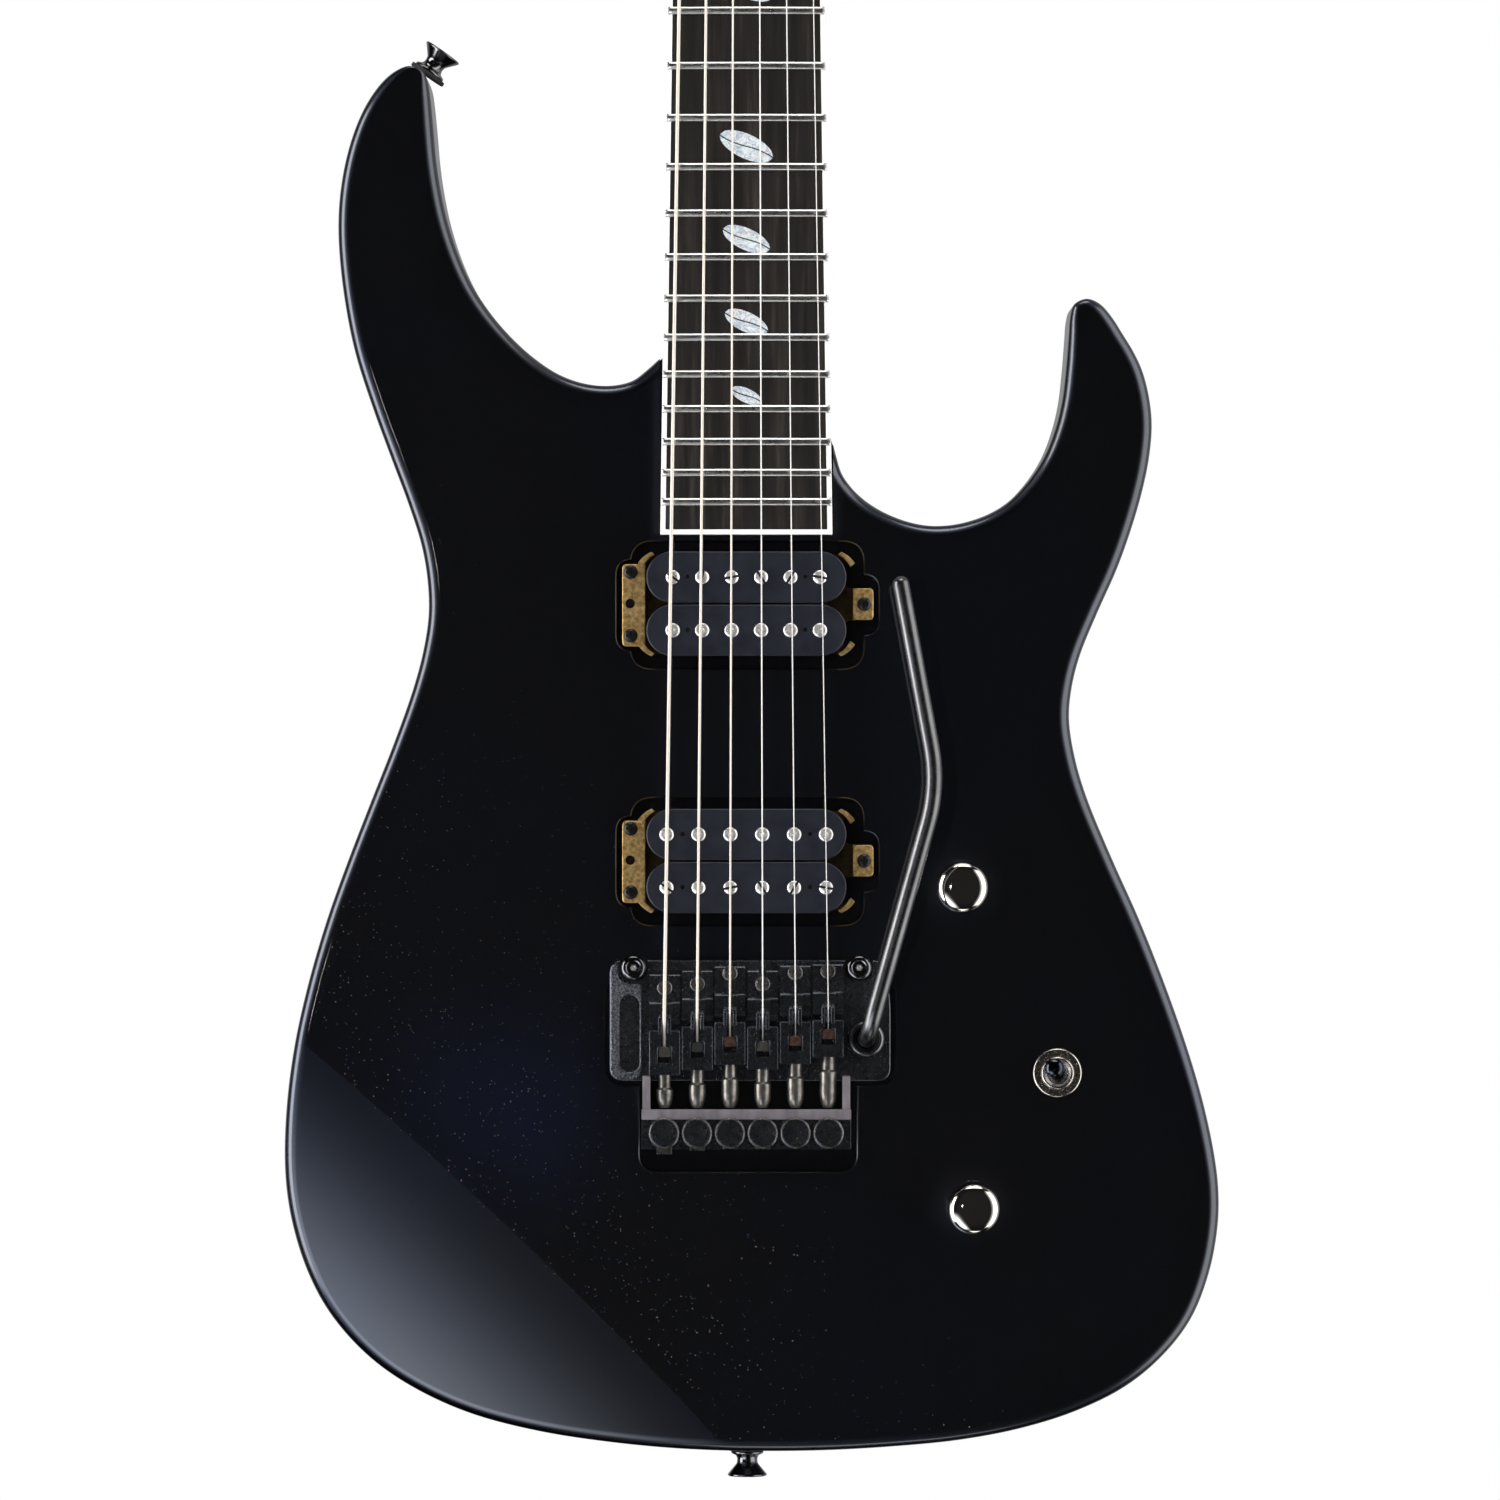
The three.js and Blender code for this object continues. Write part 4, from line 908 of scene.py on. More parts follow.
def inlay_half(name, centre_z, length, width, side):
    """Half of a tilted oval, from its wavy split line out to its rim, draped over the crown."""
    tilt = math.radians(-25)
    gap = 0.2 * MM
    count, rows = 25, 5
    grid = []
    for row in range(rows):
        share = row / (rows - 1)
        line = []
        for i in range(count):
            u = -1 + 2 * i / (count - 1)
            rim = width / 2 * math.sqrt(max(1 - u * u, 0))
            split = side * gap + 0.08 * width * math.sin(2.6 * u)
            v = split + (side * rim - split) * share
            if side * v < side * split:
                v = split
            x = length / 2 * u * 0.995
            line.append((x * math.cos(tilt) - v * math.sin(tilt), x * math.sin(tilt) + v * math.cos(tilt)))
        grid.append(line)
    points, faces = [], []
    for lift in (-0.03 * MM, 0.5 * MM):
        points += [Vector((x, crown_y(x) + lift, centre_z + z)) for line in grid for x, z in line]
    half = rows * count
    for row in range(rows - 1):
        for i in range(count - 1):
            a = row * count + i
            faces.append((a, a + 1, a + count + 1, a + count))
            faces.append(tuple(half + k for k in (a + count, a + count + 1, a + 1, a)))
    rim = ([*range(count)] + [row * count + count - 1 for row in range(1, rows)]
           + [(rows - 1) * count + i for i in range(count - 2, -1, -1)]
           + [row * count for row in range(rows - 2, 0, -1)])
    faces += [(rim[i - 1], rim[i], rim[i] + half, rim[i - 1] + half) for i in range(len(rim))]
    return add_mesh(name, points, faces)


def inlay(number):
    centre = (fret_z(number) + fret_z(number - 1)) / 2 - 1.4 * MM
    length = {17: 16.8 * MM, 19: 15.4 * MM, 21: 11 * MM}.get(number, 19 * MM)
    width = length * 0.42
    return [inlay_half("half", centre, length, width, side) for side in (-1, 1)]


def fret(number):
    """One crowned wire with rounded ends, bent to the board's curve."""
    z = fret_z(number)
    half = board_width(z) / 2 - 0.25 * MM
    arc = [(-1.35, -0.1), (-1.3, 0.3), (-1.0, 0.75), (-0.5, 1.03), (0, 1.12), (0.5, 1.03), (1.0, 0.75),
           (1.3, 0.3), (1.35, -0.1)]
    rings = []
    stations = [-1, -0.985, -0.95, *[-0.8 + 0.2 * i for i in range(9)], 0.95, 0.985, 1]
    for share in stations:
        x = half * share
        shrink = {1: 0.35, 0.985: 0.85}.get(abs(share), 1.0)
        rings.append([Vector((x, crown_y(x) - height * MM * (shrink if height > 0 else 1),
                              z + along * MM)) for along, height in arc])
    return skin(f"fret_{number}", rings)


def make_frets():
    wires = [fret(number) for number in range(1, FRET_COUNT + 1)]
    settle(merge("fret_wires", wires), "instrument", "fret_wire", FRET_WIRE, "frets")


def hex_bolt(foot, direction, radius, height, socket):
    """A round bolt head with a hexagonal socket sunk in it."""
    r, h = radius / MM, height / MM
    head = turned_mm("bolt", [(0, 0), (r, 0), (r, h), (0, h)], foot, direction, 0.35)
    top = foot + direction * height
    well = skin("socket", [[top + direction * d + corner for corner in hexagon(socket, direction)]
                           for d in (1 * MM, -0.6 * height)])
    return boolean(head, [well])


def make_nut():
    low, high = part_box("locking_nut")
    base = plate("nut_base", rectangle(low.x, high.x, low.z, high.z, 1.5 * MM), -9.6 * MM,
                 NECK_FRONT - 0.3 * MM, 0.5 * MM)
    settle(base, "instrument", "black_metal", BLACK_METAL, "locking_nut")
    middles = (-13.7, 0, 13.7)
    pads = [plate("pad", rectangle((x - 6.3) * MM, (x + 6.3) * MM, 1.2 * MM, 15.2 * MM, 1.8 * MM),
                  -14 * MM, -9.7 * MM, 0.9 * MM, 4) for x in middles]
    settle(merge("nut_clamps", pads), "instrument", "black_metal", BLACK_METAL)
    bolts = [hex_bolt(at(x, -13.5, 8.2), FRONT, 3 * MM, 3 * MM, 1.5 * MM) for x in middles]
    settle(merge("nut_bolts", bolts), "instrument", "black_metal", DARK_CHROME)
    bar = [HEAD @ at(x, -4.2, 8.6) for x in np.linspace(-20, 20, 9)]
    settle(tube("string_retainer", bar, 2.2 * MM, 24), "instrument", "black_metal", BLACK_METAL)
    screws = [hex_bolt(HEAD @ at(x, -7.2, 8.6), HEAD.to_3x3() @ FRONT, 2.6 * MM, 1.6 * MM, 1 * MM)
              for x in (-18, 18)]
    settle(merge("retainer_screws", screws), "instrument", "black_metal", DARK_CHROME)


# ---- tuners ----
def joint_place(name):
    joint = JOINTS[name]
    return Vector(joint["pos_m"]), Vector(joint["axis"]).normalized()


def make_tuner(number):
    foot, out = joint_place(f"post_turn_{number}")
    post = turned_mm(f"post_{number}", [(0, -12), (3, -12), (3, 3), (2.3, 4.2), (2.3, 6.2), (3, 7.4),
                                        (3, 9.2), (2.4, 9.8), (0, 9.8)], foot, out, 0.3)
    settle(post, f"tuner_post_{number}", "black_metal", DARK_CHROME, f"tuner_post_{number}")
    bushing = turned_mm("bushing", [(3.2, -0.5), (6.4, -0.5), (6.4, 1), (5, 1.5), (5, 2.8), (3.2, 2.8)],
                        foot + out * 0.6 * MM, out, 0.3, hollow=True)
    shaft, away = joint_place(f"tuner_turn_{number}")
    stem = turned_mm("stem", [(0, 8), (1.8, 8), (1.8, 21), (0, 21)], shaft, away)
    paddle = turned_mm("paddle", [(0, 19.5), (3, 19.6), (5.4, 21), (8.2, 24.4), (8.8, 28), (7.4, 30.8),
                                  (4, 31.9), (0, 32)], shaft, away, 1.2, 40)
    turn = away.to_track_quat("Z", "Y").to_matrix().to_4x4()
    thin = turn @ Matrix.Diagonal((1, 0.42, 1, 1)) @ turn.inverted()
    axis_of_post = turn.inverted().to_3x3() @ out
    if abs(axis_of_post.x) > abs(axis_of_post.y):
        thin = turn @ Matrix.Diagonal((0.42, 1, 1, 1)) @ turn.inverted()
    paddle.data.transform(Matrix.Translation(shaft) @ thin @ Matrix.Translation(-shaft))
    settle(merge(f"button_{number}", [stem, paddle]), f"tuner_button_{number}", "black_metal", BLACK_METAL,
           f"tuner_button_{number}")
    return foot, away, bushing


def make_tuners():
    head_back = HEAD.to_3x3() @ Vector((0, 1, 0))
    cases, bushings = [], []
    for number in range(1, STRING_COUNT + 1):
        foot, away, bushing = make_tuner(number)
        bushings.append(bushing)
        along = head_back.cross(away).normalized()
        frame_of_case = Matrix((away, head_back, along)).transposed().to_4x4()
        case = block("case", at(-7.2, 14.4, -7.2), at(9.2, 25.6, 7.2), 1.6 * MM)
        bake(case)
        case.data.transform(Matrix.Translation(foot) @ frame_of_case)
        cap = turned_mm("cap", [(0, 25.4), (5.4, 25.4), (5.4, 26), (0, 26.4)], foot, head_back, 0.3)
        cases += [case, cap]
    settle(merge("tuner_cases", cases), "instrument", "black_metal", BLACK_METAL, "tuner_housings")
    settle(merge("tuner_bushings", bushings), "instrument", "black_metal", BLACK_METAL)


# ---- strings ----
def string_x(index, z):
    spread = NUT_SPREAD + (BRIDGE_SPREAD - NUT_SPREAD) * (z / -SCALE_LENGTH)
    return spread * (index / (STRING_COUNT - 1) - 0.5)


def string_y(z):
    return STRING_Y_AT_NUT + (STRING_Y_AT_BRIDGE - STRING_Y_AT_NUT) * (z / -SCALE_LENGTH)


def make_string(index):
    number = index + 1
    radius = STRING_DIAMETERS[index] / 2
    material = WOUND if index < WOUND_COUNT else PLAIN_WIRE
    saddle_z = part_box(f"string_{number}")[0].z
    route = [Vector((string_x(index, z), string_y(z), z)) for z in np.linspace(-0.1 * MM, saddle_z, 24)]
    settle(tube(f"speaking_length_{number}", route, radius, 20), "strings", "string_wire", material,
           f"string_{number}")
    end = route[-1]
    tail = [end + at(0, y, z) for y, z in ((0, 0.3), (0.15, -1), (0.9, -3), (2.2, -5.6), (3.6, -8.6),
                                           (5.2, -11.6))]
    tail_end = tube("tail", tail, radius, 16)
    post, out = joint_place(f"post_turn_{number}")
    start = Vector((string_x(index, 0), STRING_Y_AT_NUT, 16 * MM))
    grip = Vector((string_x(index, 0), STRING_Y_AT_NUT, 1 * MM))
    under = HEAD @ Vector((string_x(index, 0), -1.9 * MM, 8.6 * MM))
    side = (HEAD.to_3x3() @ Vector((1, 0, 0))) * (2.3 * MM + radius)
    touch = post + out * 5.6 * MM + side
    head_part = [grip, start, under, under.lerp(touch, 0.5), touch]
    turns = 2.6
    across = HEAD.to_3x3() @ Vector((1, 0, 0))
    up = out.cross(across)
    coil = []
    for step in range(int(turns * 24) + 1):
        angle = -2 * math.pi * step / 24
        lift = 5.6 * MM - step / 24 * radius * 2.1
        coil.append(post + out * max(lift, 3.3 * MM) + (across * math.cos(angle) + up * math.sin(angle))
                    * (2.35 * MM + radius))
    settle(tube(f"string_wrap_{number}", coil, radius, 10), f"tuner_post_{number}", "string_wire", material)
    return tail_end, tube("head_end", head_part, radius, 12)


def make_strings():
    ends = [make_string(index) for index in range(STRING_COUNT)]
    for kind, group, material in (("wound", ends[:WOUND_COUNT], WOUND),
                                  ("plain", ends[WOUND_COUNT:], PLAIN_WIRE)):
        tails, heads = zip(*group)
        settle(merge(f"{kind}_string_tails", tails), "tremolo", "string_wire", material)
        settle(merge(f"{kind}_string_heads", heads), "instrument", "string_wire", material)


# ---- strap buttons, jack, covers ----
def make_strap_button(node, seat, out):
    washer = turned_mm(f"{node}_washer", [(0, 0), (6.4, 0), (6.4, 1.4), (0, 1.4)], seat, out, 0.4)
    settle(washer, "instrument", "black_metal", RUBBER)
    horn = turned_mm(f"{node}_horn", [(0, 1.4), (5.4, 1.4), (5.4, 2.2), (3.7, 3), (3.3, 4.2), (3.5, 5.6),
                                      (6.3, 8.9), (6.6, 9.3), (6.3, 9.8), (4.2, 9.8), (3.6, 9.2), (0, 9)],
                     seat, out, 0.5)
    settle(horn, "instrument", "black_metal", DARK_CHROME, node)
    screw = cross_screw(f"{node}_screw", seat + out * 8.6 * MM, out, 3.1 * MM, 1.1 * MM)
    settle(screw, "instrument", "black_metal", NICKEL)


def cross_screw(name, foot, direction, radius, height):
    """A domed screw head with a cross recess."""
    r, h = radius / MM, height / MM
    profile = [(0, 0), (r, 0), (r, h * 0.35), (r * 0.75, h * 0.8), (0, h)]
    head = turned_mm(name, profile, foot, direction, 0.4, 32)
    turn = direction.to_track_quat("Z", "Y").to_matrix().to_4x4()
    wells = []
    for wide, tall in ((0.58, 0.13), (0.13, 0.58)):
        well = block("recess", Vector((-wide * radius, -tall * radius, height * 0.35)),
                     Vector((wide * radius, tall * radius, height + 1 * MM)), 0.0001 * MM)
        well.modifiers.clear()
        well.data.transform(Matrix.Translation(foot) @ turn)
        wells.append(well)
    return boolean(head, wells)


def make_strap_buttons():
    mounts = {mount["name"]: mount for mount in frame["record"]["mounts"]}
    along_horn = Vector((0.577, 0, 0.817)).normalized()
    for node, out in (("upper_strap_button", along_horn), ("lower_strap_button", DOWN)):
        face = Vector(mounts[node.replace("button", "face")]["pos_m"])
        make_strap_button(node, face - out * 9.8 * MM, out)


def make_jack():
    low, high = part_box("output_jack")
    foot = Vector((high.x, BODY_BACK / 2, (low.z + high.z) / 2))
    out = Vector((1, 0, 0))
    barrel = turned_mm("jack_barrel", [(3.6, -27), (5.9, -27), (5.9, -1.9), (9.8, -1.9), (9.8, -0.5),
                                       (9.2, 0), (3.6, 0)], foot, out, 0.25, 64, True)
    settle(barrel, "instrument", "steel", BLACK_METAL, "output_jack")
    nut = turned_mm("jack_nut", [(3.7, -0.4), (6.2, -0.4), (6.2, 0.4), (3.7, 0.4)], foot, out, 0.2, 6, True)
    settle(nut, "instrument", "steel", NICKEL)


def string_slots():
    """The holes in the spring cover that the strings are fed through."""
    slots = []
    for i in range(STRING_COUNT):
        x = (i - 2.5) * 10.8 * MM
        outline = rectangle(x - 4.5 * MM, x + 4.5 * MM, -658 * MM, -652 * MM, 2.9 * MM)
        slots.append(plate("slot", outline, BODY_BACK - 5 * MM, BODY_BACK + 3 * MM, 0))
    return slots


def make_back_hardware():
    low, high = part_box("neck_plate")
    shape = rectangle(low.x, high.x, low.z, high.z, 4 * MM, 8)
    joiner = plate("neck_joint_plate", shape, low.y, high.y, 0.5 * MM)
    settle(joiner, "instrument", "black_metal", BLACK_METAL, "neck_plate")
    bolts = [cross_screw("bolt", Vector((x * MM, high.y - 0.1 * MM, z * MM)), -FRONT, 3.6 * MM, 1.6 * MM)
             for x, z in ((-14, -494), (14, -494), (-14, -465), (14, -465))]
    settle(merge("neck_bolts", bolts), "instrument", "black_metal", DARK_CHROME)
    for node, count in (("spring_cover", 8), ("control_cover", 6)):
        outline = cad_outline(node, BODY_BACK - 1 * MM)
        lid = plate(f"{node}_lid", outline, BODY_BACK - 2 * MM, BODY_BACK, 0.35 * MM)
        if node == "spring_cover":
            boolean(lid, string_slots())
        settle(lid, "instrument", "black_plastic", COVER, node)
        inner = offset(outline, -4 * MM)
        spots = [inner[round(i * len(inner) / count)] for i in range(count)]
        feet = level(spots, BODY_BACK - 0.3 * MM)
        screws = [cross_screw("screw", foot, -FRONT, 2.3 * MM, 1 * MM) for foot in feet]
        settle(merge(f"{node}_screws", screws), "instrument", "black_metal", DARK_CHROME)
    make_springs()


def make_springs():
    """Three coil springs between the sustain block and the claw, behind the cover."""
    low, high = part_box("claw_and_springs")
    claw = block("spring_claw", Vector((low.x, 33.5 * MM, -565 * MM)),
                 Vector((high.x, 35.5 * MM, high.z)), 0.4 * MM)
    settle(claw, "instrument", "steel", SATIN_STEEL, "claw_and_springs")
    springs = []
    per_turn = 12
    steps = SPRING_TURNS * per_turn
    for x in (-16, 0, 16):
        coil = []
        for step in range(steps + 1):
            angle = 2 * math.pi * step / per_turn
            z = -640 + 66 * step / steps
            coil.append(at(x + SPRING_RADIUS * math.cos(angle), 35 + SPRING_RADIUS * math.sin(angle), z))
        route = [at(x, 35, -643.5), at(x + 1.7, 35, -642), *coil, at(x + 1.7, 35, -570), at(x, 35, -564)]
        springs.append(tube("spring", route, 0.6 * MM, 6))
    settle(merge("tremolo_springs", springs), "instrument", "steel", SATIN_STEEL)


# ---- pickups ----
def pole_screw(spot, top, angle):
    """A slotted round-head pole."""
    r = 2.45
    head = turned_mm("pole", [(0, -2), (r, -2), (r, -0.1), (r - 0.7, 0.36), (r - 1.6, 0.56), (0, 0.62)],
                     Vector((spot.x, top, spot.y)), FRONT, 0.35, 32)
    turn = Matrix.Rotation(angle, 4, "Y")
    slot = prism("slot", rectangle(-4 * MM, 4 * MM, -0.4 * MM, 0.4 * MM), -3 * MM, 0.3 * MM)
    slot.data.transform(Matrix.Translation(Vector((spot.x, top, spot.y))) @ turn)
    return boolean(head, [slot])


def pole_slug(spot, top):
    profile = [(0, -2), (2.5, -2), (2.5, -0.05), (1.9, 0.4), (0.9, 0.5), (0.4, 0.3), (0, 0.25)]
    return turned_mm("pole", profile, Vector((spot.x, top, spot.y)), FRONT, 0.5, 32)


def bobbin(name, centre_z, top):
    """One coil former: a rounded top flange and a foot below it."""
    length, width, flange = 66 * MM, 17 * MM, 2.2 * MM
    cap = plate(name, stadium(length, width, 0, centre_z, 32), top, top + flange, 0.55 * MM, 4)
    foot = plate("foot", stadium(length - 1 * MM, width - 1 * MM, 0, centre_z, 24), top + 8.6 * MM,
                 top + 9.9 * MM, 0.2 * MM)
    return cap, foot


def make_pickup(name, pitch, screws_above):
    low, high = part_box(f"{name}_coils")
    top = low.y
    centre = (low.z + high.z) / 2
    poles, hole_shades, tapes = [], [], []
    for row, offset_z in (("upper", COIL_SPACING), ("lower", -COIL_SPACING)):
        cap, foot = bobbin("cap", centre + offset_z, top)
        spots = [Vector((side * pitch * 2, top, centre + offset_z + 0.2 * MM)) for side in (-1, 1)]
        boolean(cap, [drill("pin", spot, -FRONT, 0.75 * MM, 1.4 * MM, 16) for spot in spots])
        # Painted shade: a near-black plug at the bottom of each small hole.
        hole_shades += [turned_mm("pin", [(0, -1.3), (0.73, -1.3), (0.73, -0.5), (0, -0.6)], spot, FRONT, 0, 16)
                 for spot in spots]
        settle(merge(f"{name}_{row}_bobbin", [cap, foot]), name, "black_plastic", BOBBIN,
               *([f"{name}_coils"] if row == "upper" else []))
        tapes.append(plate("tape", stadium(63 * MM, 14.6 * MM, 0, centre + offset_z, 24), top + 2.1 * MM,
                           top + 8.7 * MM, 0.2 * MM))
        for i in range(STRING_COUNT):
            spot = Vector((pitch * (i - 2.5), centre + offset_z))
            if (row == "upper") == screws_above:
                poles.append(pole_screw(spot, top, math.radians(35 + 67 * i)))
            else:
                poles.append(pole_slug(spot, top))
    settle(merge(f"{name}_poles", poles), name, "steel", POLE)
    settle(merge(f"{name}_tapes", tapes), name, "black_plastic", TAPE)
    spacer = block(f"{name}_spacer", Vector((-25.5 * MM, top + 9.8 * MM, centre - 14 * MM)),
                   Vector((25.5 * MM, top + 15.5 * MM, centre + 14 * MM)), 0.3 * MM)
    settle(spacer, name, "black_plastic", BOBBIN)
    hole_shades.append(make_baseplate(name, top, centre))
    settle(merge(f"{name}_pins", hole_shades), name, "black_plastic", HOLE_SHADE)


def corner_tab(sx, sz, centre, front, back):
    """A strip curled round one corner of the bobbins."""
    steps = 8
    rings = []
    for step in range(steps + 1):
        share = step / steps
        angle = math.radians(28 + 36 * share)
        point = Vector((sx * (26.6 + 9.6 * math.cos(angle)) * MM, 0,
                        centre + sz * (8.4 + 9.3 * math.sin(angle)) * MM))
        half = Vector((sx * 0.75, 0, sz * 0.66)) * (1.0 - 0.3 * share) * MM
        rings.append([Vector((p.x, y, p.z)) for p, y in ((point + half, front), (point - half, front),
                                                         (point - half, back), (point + half, back))])
    return soften(skin("tab", rings), 0.25 * MM, 2, 50)


def make_baseplate(name, top, centre):
    """The gilt frame under the coils: a tall bass leg, a short treble leg and curled corner tabs."""
    low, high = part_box(f"{name}_baseplate")
    front = low.y
    shape = eased(line_mm((-41, -14), (-33.6, -14), (-32, -16.4), (32, -16.4), (33, -5.5), (42, -5.5),
                          (42, 5.5), (33, 5.5), (32, 16.4), (-32, 16.4), (-33.6, 13), (-41, 13)),
                  1.2 * MM, 4)
    shape = [point + Vector((0, centre)) for point in shape]
    # The pan is near-black brass, painted shade for its place under the coils.
    pan = plate(f"{name}_pan", shape, front, high.y, 0.25 * MM, 2)
    settle(pan, name, "brass", BRASS_IN_PAINTED_SHADE, f"{name}_baseplate")
    leg_front = -1.2 * MM
    legs = []
    for x0, x1, z0, z1, wall_x in ((-41.0, -33.4, -14.0, 13.2, -33.4), (35.2, 42.0, -5.2, 5.2, 36.3)):
        legs.append(plate("leg", rectangle(x0 * MM, x1 * MM, centre + z0 * MM, centre + z1 * MM, 1.6 * MM),
                          leg_front, leg_front + 1.5 * MM, 0.3 * MM))
        legs.append(block("wall", Vector(((wall_x - 1.1) * MM, leg_front + 1.2 * MM, centre + z0 * MM)),
                          Vector((wall_x * MM, front + 0.4 * MM, centre + z1 * MM)), 0.2 * MM))
    hole = Vector((-38.4 * MM, leg_front, centre + 0.2 * MM))
    boolean(legs[0], [drill("hole", hole, -FRONT, 1.6 * MM, 6 * MM, 24)])
    legs += [corner_tab(sx, sz, centre, top + 4.6 * MM, front + 0.4 * MM) for sx in (-1, 1) for sz in (-1, 1)]
    settle(merge(f"{name}_legs", legs), name, "brass", BRASS)
    feet = [Vector((x * MM, leg_front + 0.1 * MM, centre + z * MM))
            for x, z in ((-38.2, 10.6), (-38.2, -10.4), (38.9, 0.0))]
    screws = [cross_screw("screw", foot, FRONT, 2.3 * MM, 1.5 * MM) for foot in feet]
    settle(merge(f"{name}_screws", screws), name, "black_metal", BLACK_SCREW)
    # Painted shade: a near-black disc behind the bass leg's screw hole, darkening it.
    return turned_mm("shade", [(0, 0), (2.4, 0), (2.4, 0.4), (0, 0.4)], hole - FRONT * 2.3 * MM, FRONT,
                     0.1, 24)


# ---- tremolo ----
def make_bridge_plate():
    """The base plate with its two wings, cheeks and the fine tuners' shelf."""
    x0, x1 = plate_low.x, plate_high.x
    bottom = PLATE_TOP + 3 * MM
    wing_bottom = -676.8 * MM
    tools = []
    for node in ("bass_bridge_stud", "treble_bridge_stud"):
        stud = face_centre(node)
        notch = rectangle(stud.x - 4.6 * MM, stud.x + 4.6 * MM, stud.z - 4.4 * MM, stud.z + 8 * MM, 4 * MM, 6)
        tools.append(prism("notch", notch, -20 * MM, 5 * MM))
    corners = [Vector((x0, wing_bottom)), Vector((x1, wing_bottom)), Vector((x1, -651 * MM)),
               Vector((x1 - 1.6 * MM, -637 * MM)), Vector((x0, -637 * MM))]
    base = plate("bridge_base", eased(corners, 4.6 * MM, 8), PLATE_TOP, bottom, 0.5 * MM, 4)
    collar = face_centre("arm_collar")
    tools.append(drill("arm_hole", collar + FRONT * 10 * MM, -FRONT, 3.5 * MM, 20 * MM))
    settle(boolean(base, tools), "tremolo", "black_metal", BLACK_METAL, "bridge_plate")
    wing = rectangle(x0 + 0.3 * MM, -34.6 * MM, wing_bottom + 0.3 * MM, -637.4 * MM, 4.2 * MM, 8)
    skin_plate = plate("bass_wing_skin", wing, PLATE_TOP - 0.5 * MM, PLATE_TOP + 0.6 * MM, 0.35 * MM)
    stud = face_centre("bass_bridge_stud")
    clear = rectangle(stud.x - 5.4 * MM, stud.x + 8 * MM, stud.z - 5.4 * MM, stud.z + 8 * MM, 4.6 * MM, 6)
    notch = prism("notch", clear, -20 * MM, 5 * MM)
    recess = cutter("recess", stadium_upright(PANEL_X, PANEL_Z, 6.6 * MM, 25.5 * MM), PLATE_TOP - 0.5 * MM,
                    PLATE_TOP + 0.1 * MM, 0.4 * MM, 3)
    settle(boolean(skin_plate, [notch, recess]), "tremolo", "black_metal", HAMMERED)
    # Painted shade: the recessed panel takes the darker copy of the hammered plating.
    panel = plate("bass_wing_panel", stadium_upright(PANEL_X, PANEL_Z, 6.4 * MM, 25.3 * MM),
                  PLATE_TOP + 0.05 * MM, PLATE_TOP + 0.4 * MM, 0.05 * MM)
    settle(panel, "tremolo", "black_metal", HAMMERED_SHADED)
    # Painted reflection: the cheeks and the strip under the fine tuners are lighter lilac grey where light catches
    # them.
    sheen_faces = [block("cheek", at(x, -11.9, -690), at(x + 2.6, -1.8, -675), 0.4 * MM) for x in (-34.2, 31.6)]
    side = line_mm((-686.2, -9), (-688.8, -12.4), (-699, -12.4), (-699, -9))
    shelf = side_bar("tuner_shelf", side, -34.5 * MM, 34.5 * MM)
    settle(soften(shelf, 0.35 * MM), "tremolo", "black_metal", BLACK_METAL)
    sheen_faces.append(block("strip", at(-34.5, -12.9, -689.3), at(34.5, -9.4, -685.9), 0.35 * MM))
    settle(merge("shelf_front", sheen_faces), "tremolo", "black_metal", PLATING_SHEEN)


def stadium_upright(centre_x, centre_z, width, height):
    flat = stadium(height, width, 0, 0, 20)
    return [Vector((centre_x - point.y, centre_z + point.x)) for point in flat]


